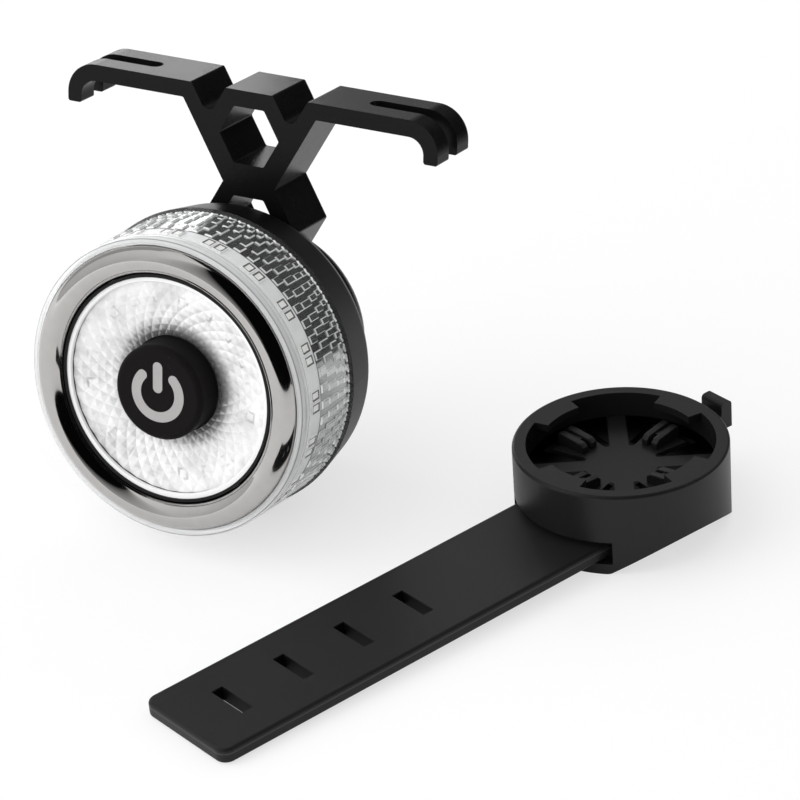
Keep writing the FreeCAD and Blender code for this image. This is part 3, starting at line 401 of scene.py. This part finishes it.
def relief_finish():
    """Mirror-like tops and floors, and slopes between them painted pale as a highlight."""
    finish = Finish("brick relief", IOR=1.58)
    place = on_bench(finish, LIGHT)
    cloud = speckle(place, 3.0)
    radius = radius_of(place)
    top = radius.between(TOP_RADIUS - 0.04, TOP_RADIUS - 0.02)
    # painted highlight: the sloping sides are coloured pale and made less metallic
    slope_highlight = radius.between(BASE_RADIUS + 0.01, BASE_RADIUS + 0.03) - top
    floors = finish.mix(cloud, (0.30, 0.31, 0.31), (0.46, 0.47, 0.47))
    tops = finish.mix(cloud, (0.46, 0.47, 0.47), (0.62, 0.63, 0.63))
    flat = finish.mix(top, floors, tops)
    return finish.set(Base_Color=finish.mix(slope_highlight, flat, (0.93, 0.95, 0.95)),
                      Metallic=0.95 - slope_highlight * 0.75, Roughness=0.08 + cloud * 0.10)


RELIEF = relief_finish()
print("relief nodes:", len(RELIEF.node_tree.nodes))

# %% [markdown]
# The blocks are modelled one by one on a plain floor: about as wide as the gaps between them, and
# smaller in each ring towards the back. At the back edge runs a chain of little diamonds, which
# touch at their tips.

# %% Relief mesh
# how many blocks stand round each ring, and the levels of the ring's back and front
BRICK_RINGS = [(58, 14.18, 15.92), (68, 11.92, 14.08), (76, 10.22, 11.80), (84, 9.16, 10.12)]
BRICK_HALF = 0.27  # half a block's width, as a share of the pitch
SLOPE_WIDTH = 0.15
FLOOR_STEPS, FLOOR_BACK, FLOOR_FRONT = 180, 8.34, 16.0
DIAMONDS, DIAMOND_LEVEL, DIAMOND_RISE, DIAMOND_TOP = 92, 8.74, 0.36, 0.6


def raised(points, faces, base, top):
    """Four base corners and four top corners become a block with sloping sides."""
    start = len(points)
    points += base + top
    faces.append(tuple(start + 4 + i for i in range(4)))
    for i in range(4):
        beside = (i + 1) % 4
        faces.append((start + i, start + beside, start + 4 + beside, start + 4 + i))


def relief_floor(points, faces):
    pitch = 2 * math.pi / FLOOR_STEPS
    corners = ((0, FLOOR_BACK), (1, FLOOR_BACK), (1, FLOOR_FRONT), (0, FLOOR_FRONT))
    for index in range(FLOOR_STEPS):
        start = len(points)
        points += [ring_spot((index + side) * pitch, BASE_RADIUS, level) for side, level in corners]
        faces.append((start, start + 1, start + 2, start + 3))


def block_corners(middle, half, radius, back, front):
    corners = ((-1, back), (1, back), (1, front), (-1, front))
    return [ring_spot(middle + side * half, radius, level) for side, level in corners]


def brick_ring(points, faces, around, back, front):
    pitch = 2 * math.pi / around
    base_half = BRICK_HALF * pitch
    top_half = base_half - SLOPE_WIDTH / BASE_RADIUS
    for index in range(around):
        middle = index * pitch
        base = block_corners(middle, base_half, BASE_RADIUS, back, front)
        top = block_corners(middle, top_half, TOP_RADIUS, back + SLOPE_WIDTH, front - SLOPE_WIDTH)
        raised(points, faces, base, top)


def diamond_chain(points, faces):
    pitch = 2 * math.pi / DIAMONDS
    corners = ((-0.5, 0), (0, -DIAMOND_RISE), (0.5, 0), (0, DIAMOND_RISE))
    for index in range(DIAMONDS):
        base, top = [[ring_spot((index + side * part) * pitch, radius, DIAMOND_LEVEL + rise * part)
                      for side, rise in corners]
                     for radius, part in ((BASE_RADIUS, 1), (TOP_RADIUS, DIAMOND_TOP))]
        raised(points, faces, base, top)


points, faces = [], []
relief_floor(points, faces)
for around, back, front in BRICK_RINGS:
    brick_ring(points, faces, around, back, front)
diamond_chain(points, faces)
relief = new_piece("cover_bricks", points, faces, LIGHT, RELIEF, sharp=10)
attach(relief, "light_body")
print("blocks round the rings:", [around for around, back, front in BRICK_RINGS])

# %% [markdown]
# ## Dark chrome
#
# The ring round the window is half round and plated in dark chrome. A metal shows only what it
# mirrors, so its shape must be smooth and its finish almost plain: a warm grey metal with a breath
# of haze.

# %% Chrome ring
def chrome_finish():
    finish = Finish("dark chrome", Metallic=1.0)
    haze = speckle(on_bench(finish, LIGHT), 1.6)
    return finish.set(Base_Color=finish.mix(haze, (0.44, 0.428, 0.42), (0.49, 0.478, 0.465)),
                      Roughness=0.05 + haze * 0.05)


def half_round(inner, outer, foot, crown):
    """A flat-footed profile with a half-round crown."""
    steps = 24
    middle, half = (inner + outer) / 2, (outer - inner) / 2
    angles = [math.pi * i / steps for i in range(steps + 1)]
    arc = [(middle + half * math.cos(a), crown - half + half * math.sin(a)) for a in angles]
    return [(inner, foot), (outer, foot)] + arc


bezel = lathe("bezel_ring", half_round(15.4, 19.2, 18.8, 22.4), chrome_finish(), steps=360)
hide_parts("chrome_bezel")
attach(bezel, "light_body")
print("bezel faces:", len(bezel.data.polygons))

# %% [markdown]
# ## Window
#
# Behind the clear disc lies a moulded optic: crossing spirals of shallow pyramids, like cut glass.
# White light from the reflector fills it, so it is almost white, with grey where a facet mirrors
# something dark. Beside the black button the facets mirror it, and that dark reflection is painted
# into the colour, darkening towards the button. The chips behind it show only as faint grey squares,
# bent by the facets, so they are drawn into its colour: a square outline is a band of the larger of
# two distances.

# %% Window facet finish
CHIPS = 20  # on the front board, and as many pairs round the side
GHOST_RADIUS = 11.9


def facet_finish():
    finish = Finish("window facets", Roughness=0.12, IOR=1.5)
    place = on_bench(finish, LIGHT)
    cloud = speckle(place, 3.5, 3.0)
    radius = radius_of(place)
    chip_angle = 2 * math.pi / CHIPS
    sideways = ((bearing_of(place) * (1 / chip_angle)).fraction() - 0.5).size() * chip_angle * radius
    square = sideways.math("MAXIMUM", (radius - GHOST_RADIUS).size())
    ghost = square.within(0.42, 0.52, 0.72, 0.85) * speckle(place, 2.2).between(0.46, 0.62) * 0.75
    # painted reflection of the black button, darkening the facets towards its hole
    button_reflection = (1 - radius.between(6.7, 8.9)) * 0.9
    white = finish.mix(cloud.between(0.45, 0.72), (0.98, 0.975, 0.98), (0.70, 0.70, 0.71))
    marked = finish.mix(ghost, white, (0.45, 0.47, 0.47))
    return finish.set(Base_Color=finish.mix(button_reflection, marked, grey(0.10)),
                      Metallic=0.07 + cloud * 0.10 + button_reflection * 0.5,
                      Alpha=0.97 - cloud * 0.05)


FACETED = facet_finish()
print("facet nodes:", len(FACETED.node_tree.nodes))

# %% [markdown]
# Each pyramid is a diamond with a raised middle, made of four triangles, or of three at the two
# edges. The diamonds stand on rings that widen with the radius, turned by half a step from ring to
# ring, and the whole is a shallow dish that is deepest beside the button.

# %% Window facets
FACETS_ROUND, FACET_RINGS, FACET_RISE = 38, 8, 0.16
FACET_INNER, FACET_OUTER, RING_SPREAD = 6.58, 14.28, 1.15
DISH_BOTTOM, DISH_DEPTH = 18.5, 1.7


def facet_spot(ring, index, rise=0.0):
    share = ring / FACET_RINGS
    radius = FACET_INNER + (FACET_OUTER - FACET_INNER) * share ** RING_SPREAD
    angle = (index + 0.5 * (ring % 2)) * 2 * math.pi / FACETS_ROUND
    return ring_spot(angle, radius, DISH_BOTTOM + DISH_DEPTH * share + rise)


def window_facets():
    """A shallow dish of diamonds with raised middles."""
    points, faces = [], []
    for ring in range(FACET_RINGS + 1):
        for index in range(FACETS_ROUND):
            beside = index + ring % 2
            corners = [facet_spot(ring, index + 1), facet_spot(ring, index)]
            if ring < FACET_RINGS:
                corners.insert(1, facet_spot(ring + 1, beside))
            if ring > 0:
                corners.insert(0, facet_spot(ring - 1, beside))
            start, count = len(points), len(corners)
            points += corners + [facet_spot(ring, index + 0.5, FACET_RISE)]
            # the side that has no corner of its own, at the inner and the outer edge
            open_side = {0: 2, FACET_RINGS: 1}.get(ring)
            faces += [(start + i, start + (i + 1) % count, start + count)
                      for i in range(count) if i != open_side]
    return points, faces


facets = new_piece("window_facets", *window_facets(), LIGHT, FACETED, sharp=5)
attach(facets, "light_body")
print("window triangles:", len(facets.data.polygons))

# %% [markdown]
# The clear disc in front has a standing rim, which gathers light and shows as a white ring inside
# the black gasket. The rim is drawn with the disc, and its plastic is closed by its radius.

# %% Clear disc with its rim
RIM_INNER, RIM_OUTER, RIM_FRONT = 14.3, 15.15, 20.9


def window_finish():
    finish = Finish("window disc", Roughness=0.06, IOR=1.58)
    place = on_bench(finish, LIGHT)
    rim = radius_of(place).over(RIM_INNER - 0.05)
    haze = speckle(place, 1.5)
    return finish.set(Base_Color=finish.mix(haze, grey(0.98), grey(0.93)),
                      Alpha=0.03 + rim * 0.87 + haze * 0.04,
                      Normal=finish.bumped(speckle(place, 2.4) * 0.03))


def window_profile():
    """The flange behind, the standing rim, and the face that slopes down to the button's hole."""
    flange = [(6.55, 17.3), (17.0, 17.3), (17.0, 18.7), (RIM_OUTER, 18.7)]
    rim = [(RIM_OUTER, RIM_FRONT - 0.1), (RIM_OUTER - 0.1, RIM_FRONT),
           (RIM_INNER + 0.12, RIM_FRONT), (RIM_INNER, RIM_FRONT - 0.12)]
    return flange + rim + [(RIM_INNER, 20.6), (6.55, 18.9)]


disc = lathe("window_disc", window_profile(), window_finish())
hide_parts("front_lens")
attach(disc, "light_body")
print("window faces:", len(disc.data.polygons))

# %% [markdown]
# ## Light chips
#
# Each chip is a small package: a white body, a dark line round the sunken window, and pale resin in
# it. Pairs of them stand round the side strip, and twenty face forwards on the front board. One
# helper draws a chip as four squares, one over the other, and a loop stands it in its places.

# %% Light chips
def chip_finish(name, colour, other):
    finish = Finish(name)
    cloud = speckle(on_bench(finish, LIGHT), 0.5)
    return finish.set(Base_Color=finish.mix(cloud, colour, other), Roughness=0.25 + cloud * 0.2)


CHIP_LINE = chip_finish("chip line", grey(0.05), grey(0.12))
CHIP_BODY = chip_finish("chip body", grey(0.98), grey(0.92))
CHIP_RESIN = chip_finish("chip resin", (0.98, 0.98, 0.96), (0.93, 0.93, 0.90))
BODY, LINE, RESIN = 0, 1, 2  # where a chip's piece keeps the three
LINE_INSET, WINDOW_INSET = 0.12, 0.56
WINDOW_LEVEL = 0.8  # as a share of the chip's height


def chip_mesh(long, wide, tall):
    """A package with a sunken window: its points, its faces and the finish of each face."""
    points, faces = [], []
    for less, level in ((0, 0), (0, tall), (LINE_INSET, tall), (WINDOW_INSET, tall * WINDOW_LEVEL)):
        x, y = (long - less) / 2, (wide - less) / 2
        points += [(-x, -y, level), (x, -y, level), (x, y, level), (-x, y, level)]
    for below in (0, 4, 8):
        for i in range(4):
            beside = (i + 1) % 4
            faces.append((below + i, below + beside, below + 4 + beside, below + 4 + i))
    faces += [(12, 13, 14, 15), (3, 2, 1, 0)]
    return points, faces, [BODY] * 8 + [LINE] * 4 + [RESIN, BODY]


def chips(name, places, size, node):
    """One piece of many chips, each stood in its place on the light's bench."""
    points, faces, finishes = [], [], []
    drawn, drawn_faces, drawn_finishes = chip_mesh(*size)
    for place in places:
        start = len(points)
        points += [place @ Vector(p) for p in drawn]
        faces += [tuple(start + i for i in face) for face in drawn_faces]
        finishes += drawn_finishes
    piece = new_piece(name, points, faces, LIGHT, CHIP_BODY)
    piece.data.materials.append(CHIP_LINE)
    piece.data.materials.append(CHIP_RESIN)
    for face, finish in zip(piece.data.polygons, finishes):
        face.material_index = finish
    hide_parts(node)
    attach(piece, "light_body")
    print(name, "has", len(places), "chips")


print("faces of one chip:", len(chip_mesh(1, 1, 1)[1]))

# %% [markdown]
# The front chips lie flat. The side chips are turned to face outwards, and the two of a pair stand
# 2.4 degrees to either side of its middle, a little closer together than the solids do.

# %% Chips in their places
def round_axis(degrees):
    return Matrix.Rotation(math.radians(degrees), 4, "Z")


STEP = 360 / CHIPS
flat_chip = Matrix.Translation((12.0, 0, 14.2))
side_chip = Matrix.Translation((19.84, 0, 17.55)) @ Matrix.Rotation(math.radians(90), 4, "Y")
front_places = [round_axis(STEP * i + 9) @ flat_chip for i in range(CHIPS)]
side_places = [round_axis(STEP * i + 3 + turn) @ side_chip for i in range(CHIPS) for turn in (-2.4, 2.4)]
chips("front_chips", front_places, (1.25, 2.0, 0.7), "front_leds")
chips("side_chips", side_places, (1.9, 1.35, 0.28), "side_leds")

# %% [markdown]
# ## Moulded black nylon
#
# The bracket, the shell and the mount are black nylon with a fine spark-eroded grain. It is never
# one black: the grain scatters light, and handling polishes it unevenly.

# %% Black nylon
def black_nylon(name, bench, colour, rough, shine=0.12):
    finish = Finish(name, IOR=1.5, Specular_IOR_Level=shine)
    place = on_bench(finish, bench)
    fine = speckle(place, 0.16, 3.0, 0.6)
    cloud = speckle(place, 6.0)
    finish.set(Base_Color=finish.mix(cloud, colour, scaled(colour, 1.35)),
               Roughness=rough + cloud * 0.08 + fine * 0.05,
               Normal=finish.bumped(fine * 0.008))
    return finish


def dress(node, material):
    """Give a solid its finish."""
    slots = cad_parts[node].data.materials
    slots.clear()
    slots.append(material)


dress("saddle_bracket", black_nylon("bracket nylon", LIGHT, grey(0.0042), 0.20).material)
dress("rear_shell", black_nylon("shell nylon", LIGHT, grey(0.0045), 0.25, shine=0.08).material)
dress("inner_core", black_nylon("core plastic", LIGHT, grey(0.004), 0.45).material)
print("nylon:", [m.name for m in bpy.data.materials if "nylon" in m.name])

# %% [markdown]
# ## The mount's socket
#
# Four sprung fingers reach out from the socket's plain middle, parted by slots that widen towards
# the wall, with four plain spokes between them. The solid has narrow slots, and the rest of each
# slot is painted shade in the nylon, black and without gloss: the floor is folded four times about
# its middle, and what is neither finger nor spoke is painted dark.

# %% Socket floor
SOCKET_TURN, SOCKET_FLOOR = 6.0, 7.96
FINGER_START, FINGER_END, FINGER_HALF, FINGER_FLARE = 4.8, 10.4, 1.95, 0.2126
SPOKE_HALF = 1.25
QUARTER = math.pi / 2


def socket_nylon():
    """The mount's nylon, with painted shade in the slots of the socket's floor."""
    finish = black_nylon("mount nylon", STRAP, (0.0088, 0.0081, 0.0084), 0.32, shine=0.26)
    place = on_bench(finish, STRAP)
    level, radius = parts_of(place)[2], radius_of(place)
    turned = bearing_of(place) - math.radians(SOCKET_TURN)
    folded = ((turned / QUARTER + 8.5).fraction() - 0.5) * QUARTER
    along = radius * folded.math("COSINE")
    aside = (radius * folded.math("SINE")).size()
    finger = (FINGER_HALF + (along - FINGER_START) * FINGER_FLARE - aside).between(-0.05, 0.05)
    finger = finger * (1 - along.between(FINGER_END - 0.05, FINGER_END + 0.05))
    off_spoke = (along - aside).size() * math.sqrt(0.5)
    spoke = 1 - off_spoke.between(SPOKE_HALF - 0.05, SPOKE_HALF + 0.05)
    floor = level.within(7.7, 7.8, 8.05, 8.1) * radius.within(4.75, 4.85, 12.25, 12.3)
    # painted shade: the floor outside fingers and spokes is black and without gloss, for the wide slots
    painted_slot_shade = floor * (1 - finger.math("MAXIMUM", spoke))
    return finish.set(Base_Color=finish.mix(painted_slot_shade, finish.colour(), grey(0.0004)), Metallic=painted_slot_shade)


MOUNT_NYLON = socket_nylon()
dress("mount_base", MOUNT_NYLON)
print("mount nylon nodes:", len(MOUNT_NYLON.node_tree.nodes))

# %% [markdown]
# On each finger stands a pair of rails, which click into the light's foot. They are drawn as real
# shapes with softened edges, because their ends catch the light.

# %% Socket rails
RAIL_NEAR, RAIL_FAR = 0.32, 1.32
RAIL_OUTLINE = [(5.4, 0.0), (5.4, 0.8), (6.0, 1.3), (9.0, 1.65), (9.7, 1.65), (10.0, 1.4), (10.0, 0.0)]


def rail_mesh(side):
    """One rail of a pair, low at its inner end and rounded at its outer end."""
    ring = len(RAIL_OUTLINE)
    points = [(radius, side * aside, SOCKET_FLOOR + rise)
              for aside in (RAIL_NEAR, RAIL_FAR) for radius, rise in RAIL_OUTLINE]
    faces = [tuple(range(ring))[::-side], tuple(range(ring, 2 * ring))[::side]]
    faces += [(i, (i + 1) % ring, ring + (i + 1) % ring, ring + i)[::side] for i in range(ring)]
    return points, faces


points, faces = [], []
for finger in range(4):
    for side in (-1, 1):
        start = len(points)
        rail, rail_faces = rail_mesh(side)
        points += [round_axis(SOCKET_TURN + 90 * finger) @ Vector(p) for p in rail]
        faces += [tuple(start + i for i in face) for face in rail_faces]
rails = new_piece("socket_rails", points, faces, STRAP, MOUNT_NYLON)
soften = rails.modifiers.new("soften", "BEVEL")
soften.width = 0.12 * MM
soften.segments = 3
soften.limit_method = "ANGLE"
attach(rails, "post_mount")
print("rails:", len(rails.data.polygons), "faces")

# %% [markdown]
# ## Rubber
#
# The strap, the button, the gasket and the port's flap are silicone rubber. Rubber is duller than
# nylon and has a soft sheen towards its edges, and it holds fine dust.

# %% Rubber
def rubber(name, bench, colour, rough, dust=0.15, shine=0.3, sheen=0.03):
    finish = Finish(name, IOR=1.45, Specular_IOR_Level=shine, Sheen_Weight=sheen, Sheen_Roughness=0.5)
    place = on_bench(finish, bench)
    fine = speckle(place, 0.12, 2.0, 0.6)
    cloud = speckle(place, 9.0, 3.0)
    specks = speckle(place, 0.3).between(0.68, 0.78) * dust
    dark = finish.mix(cloud, colour, scaled(colour, 1.3))
    finish.set(Base_Color=finish.mix(specks, dark, grey(0.08)),
               Roughness=rough + cloud * 0.10, Normal=finish.bumped(fine * 0.008))
    return finish


button_rubber = rubber("button rubber", LIGHT, (0.0075, 0.0065, 0.007), 0.42, dust=0.25, shine=0.04,
                       sheen=0.0)
dress("button_cap", button_rubber.material)
dress("bezel_gasket", rubber("gasket rubber", LIGHT, grey(0.004), 0.5).material)
dress("housing_seal", rubber("seal rubber", LIGHT, grey(0.02), 0.5).material)
dress("port_cover", rubber("flap rubber", LIGHT, grey(0.012), 0.5).material)
print("rubber:", [m.name for m in bpy.data.materials if "rubber" in m.name])

# %% [markdown]
# ## The strap
#
# The strap was moulded flat in two halves. Along its sides and its end a fine pale line is a painted
# highlight, where the parting line catches the light. Little light gets into its four slots, so their
# walls are painted darker than its top, as shade. Both are found from the depth under the top, which
# slopes down towards the free end by one and a half degrees.

# %% Strap rubber
STRAP_END, TOP_AT_END, TOP_SLOPE = 71.9, 2.12, 0.0262


def strap_finish():
    """The strap's rubber, with painted shade in its slots and a painted highlight line along its sides
    and its end.
    """
    finish = rubber("strap rubber", STRAP, (0.0085, 0.0078, 0.0081), 0.42)
    along, across, level = parts_of(on_bench(finish, STRAP))
    aside = across.size()
    depth = TOP_AT_END + (STRAP_END - along) * TOP_SLOPE - level
    # painted shade on the slot walls, black and without gloss
    slot_wall_shade = depth.between(0.1, 0.3) * (1 - aside.between(3.3, 3.5)) * (1 - along.between(66.0, 67.0))
    side = aside.between(7.5, 7.6).math("MAXIMUM", along.between(71.4, 71.5))
    # painted highlight: a pale line at mid-thickness along the sides and the end
    seam_highlight = side * depth.within(0.62, 0.70, 0.78, 0.86)
    lined = finish.mix(seam_highlight * 0.8, finish.colour(), (0.05, 0.048, 0.048))
    return finish.set(Base_Color=finish.mix(slot_wall_shade, lined, grey(0.0008)), Metallic=slot_wall_shade)


dress("seatpost_strap", strap_finish())
print("strap nodes:", len(bpy.data.materials["strap rubber"].node_tree.nodes))

# %% [markdown]
# ## White and grey plastics
#
# The reflector and the band that carries the side chips are white plastic, and the power symbol is
# a light grey inlay. The band is drawn close under the clear wall, where it seems to be.

# %% White and grey plastics
def plain_plastic(name, colour, other, rough=0.4, grain=1.2):
    finish = Finish(name, IOR=1.5)
    cloud = speckle(on_bench(finish, LIGHT), grain)
    return finish.set(Base_Color=finish.mix(cloud, colour, other), Roughness=rough + cloud * 0.1,
                      Normal=finish.bumped(cloud * 0.01))


dress("reflector", plain_plastic("white plastic", grey(0.92), (0.84, 0.84, 0.85)))
band = lathe("side_band", [(18.2, 16.0), (19.9, 16.0), (19.9, 19.3), (18.2, 19.3)],
             plain_plastic("strip plastic", (0.93, 0.94, 0.94), (0.80, 0.81, 0.81)))
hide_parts("side_strip")
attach(band, "light_body")
dress("power_symbol", plain_plastic("symbol inlay", (0.35, 0.335, 0.335), (0.39, 0.375, 0.375)))
dress("led_board", plain_plastic("white board", grey(0.90), (0.80, 0.81, 0.80)))
dress("switch_plunger", plain_plastic("switch plastic", grey(0.05), grey(0.08)))
dress("battery_pad", plain_plastic("pad foam", (0.05, 0.05, 0.055), (0.16, 0.16, 0.17), 0.8, 0.25))
print("plastics:", [m.name for m in bpy.data.materials if "plastic" in m.name])

# %% [markdown]
# ## Electronics
#
# Nobody sees these until the light is opened, but they are there: a green board with its copper
# tracks, dark chips, tinned steel and a foil-wrapped cell.

# %% Electronics
def board_finish():
    finish = Finish("green board", IOR=1.5, Coat_Weight=0.3)
    place = on_bench(finish, LIGHT)
    across, up = parts_of(place)[:2]
    stripe = ((across * 0.7 + up * 0.7) * 0.6).fraction().between(0.42, 0.46)
    track = stripe * speckle(place, 3.0).over(0.5)
    return finish.set(Base_Color=finish.mix(track, (0.012, 0.075, 0.035), (0.03, 0.16, 0.08)),
                      Roughness=0.35 - track * 0.1, Normal=finish.bumped(track * 0.03))


def metal(name, colour, other, rough):
    finish = Finish(name, Metallic=1.0)
    cloud = speckle(on_bench(finish, LIGHT), 0.8)
    return finish.set(Base_Color=finish.mix(cloud, colour, other), Roughness=rough + cloud * 0.15)


dress("main_board", board_finish())
dress("circuit_chips", plain_plastic("chip epoxy", grey(0.02), grey(0.05), 0.5, 0.4))
dress("board_link", plain_plastic("link epoxy", grey(0.03), grey(0.06), 0.5, 0.4))
dress("board_screws", metal("screw steel", (0.45, 0.45, 0.46), grey(0.6), 0.25))
dress("usb_socket", metal("tinned steel", grey(0.62), grey(0.72), 0.22))
dress("switch_body", metal("switch steel", grey(0.5), grey(0.65), 0.3))
dress("battery_cell", metal("cell foil", (0.55, 0.56, 0.58), (0.68, 0.69, 0.7), 0.32))
dress("battery_leads", plain_plastic("lead sleeve", (0.35, 0.01, 0.01), (0.45, 0.03, 0.02), 0.4, 0.6))
undressed = [n for n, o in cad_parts.items() if not o.hide_render and not o.data.materials]
print("solids without a finish:", undressed)

# %% [markdown]
# ## The studio
#
# The picture is a plain product shot on a white table. The table and the world are whiter to the
# camera and in reflections than as light, through Light Path, so the background is white while the
# object is lit at a plain level and keeps its shadow.

# %% Table and world
TABLE_HALF = 3000


def rays(tree):
    """1 for the camera's own rays, for reflections and for what is seen through glass."""
    path = tree.node("LightPath").socket.node
    return [Wire(tree, path.outputs[f"Is {kind} Ray"]) for kind in ("Camera", "Glossy", "Transmission")]


def table_finish():
    finish = Finish("table", Roughness=0.9, Base_Color=grey(0.95))
    camera_ray, glossy_ray, glass_ray = rays(finish)
    seen = camera_ray * 0.64 + glossy_ray * 0.25 + glass_ray * 0.5
    glow = finish.node("Emission", None, grey(1.0), 1.0)
    surface = finish.node("MixShader", None, seen, Wire(finish, finish.shader.outputs[0]), glow)
    finish.plug(surface, finish.node_tree.nodes["Material Output"].inputs["Surface"])
    return finish.material


def flat_piece(name, corners, material):
    """A flat piece of the studio with four corners, in millimetres."""
    return new_piece(name, corners, [(0, 1, 2, 3)], STUDIO, material)


floor = flat_piece("table_top", [(-TABLE_HALF, -TABLE_HALF, 0), (TABLE_HALF, -TABLE_HALF, 0),
                                 (TABLE_HALF, TABLE_HALF, 0), (-TABLE_HALF, TABLE_HALF, 0)],
                   table_finish())

world = bpy.data.worlds.new("studio")
bpy.context.scene.world = world
world.use_nodes = True
sky = Tree(world.node_tree)
camera_ray, glossy_ray, glass_ray = rays(sky)
seen = camera_ray.math("MAXIMUM", glass_ray).math("MAXIMUM", glossy_ray)
background = world.node_tree.nodes["Background"]
sky.plug(grey(1.0), background.inputs["Color"])
sky.plug(0.6 + seen * 0.4, background.inputs["Strength"])
print("world: 1 to the camera and in reflections, 0.6 as light")

# %% [markdown]
# Soft light comes from above and from the left, with a little from behind. The lamps are never seen,
# by the camera or in reflections.

# %% Lamps
LAMP_AIM = Vector((0, 0, 20)) * MM


def lamp(name, place, size, power):
    """A soft rectangular lamp that faces the object, placed in millimetres."""
    made = bpy.data.objects.new(name, bpy.data.lights.new(name, "AREA"))
    made.data.shape = "RECTANGLE"
    made.data.size = size[0] * MM
    made.data.size_y = size[1] * MM
    made.data.energy = power
    place = Vector(place) * MM
    facing = (place - LAMP_AIM).to_track_quat("Z", "Y").to_matrix().to_4x4()
    made.matrix_world = Matrix.Translation(place) @ facing
    made.visible_camera = False
    made.visible_glossy = False
    bpy.context.scene.collection.objects.link(made)


lamp("top_lamp", (-640, -150, 850), (1000, 1100), 5.4)
lamp("left_lamp", (-860, -520, 420), (1300, 900), 4.2)
lamp("front_lamp", (-420, -900, 300), (1100, 560), 2.4)
lamp("back_lamp", (-60, 900, 620), (900, 420), 1.4)

# %% [markdown]
# What reflections see is cloth: parts of a wide dome, black round the right side, which draws the
# dark crescents in the chrome, and pale round the left. Another black cloth lies just over the
# table, behind the light and to its right, and a white card stands behind it on the left.

# %% Cloths and card
DOME, ROWS, COLUMNS = 1300, 12, 24


def hang(made):
    """Show a stage piece to reflections alone."""
    made.visible_camera = False
    made.visible_diffuse = False
    made.visible_shadow = False
    made.visible_transmission = False


def cloth(name, azimuths, heights, tones, sideways=False):
    """Part of the dome, from angles in degrees; its grey fades upwards, or else sideways."""
    finish = Finish(name, Roughness=1.0, Specular_IOR_Level=0.0, Base_Color=grey(0),
                    Emission_Strength=1.0)
    place = finish.node("TexCoord", None, out="Object")
    if sideways:
        share = bearing_of(place).between(*[math.radians(a) for a in azimuths])
    else:
        share = parts_of(place)[2].between(0, DOME * MM)
    finish.set(Emission_Color=finish.mix(share, grey(tones[0]), grey(tones[1])))
    points, faces = [], []
    for row in range(ROWS + 1):
        height = math.radians(heights[0] + (heights[1] - heights[0]) * row / ROWS)
        for column in range(COLUMNS + 1):
            azimuth = math.radians(azimuths[0] + (azimuths[1] - azimuths[0]) * column / COLUMNS)
            points.append(ring_spot(azimuth, DOME * math.cos(height), DOME * math.sin(height)))
            if row and column:
                here = len(points) - 1
                below = here - COLUMNS - 1
                faces.append((here, here - 1, below - 1, below))
    hang(new_piece(name, points, faces, STUDIO, finish.material))


cloth("right_cloth", (-92, 38), (0.3, 88), (0.003, 0.003))
cloth("back_cloth", (38, 112), (0.3, 29), (0.04, 0.04))
cloth("roof_cloth", (38, 130), (54, 88), (0.02, 0.02))
cloth("rear_cloth", (112, 178), (0.3, 60), (0.5, 0.5))
cloth("left_cloth", (178, 234), (0.3, 88), (0.7, 1.1))
cloth("soft_cloth", (-126, -92), (0.3, 88), (0.9, 0.02), sideways=True)
black = Finish("floor cloth", Roughness=1.0, Specular_IOR_Level=0.0, Base_Color=grey(0.003))
hang(flat_piece("far_cloth", [(70, 80, 0.5), (DOME, 80, 0.5), (DOME, DOME, 0.5), (70, DOME, 0.5)],
                black.material))
glowing = Finish("card", Roughness=1.0, Emission_Color=grey(1.0), Emission_Strength=1.6)
hang(flat_piece("white_card", [(-260, 166, 40), (-90, 166, 40), (-90, 166, 112), (-260, 166, 112)],
                glowing.material))

# %% [markdown] ## End
# The dressed light must be no larger than its solids.
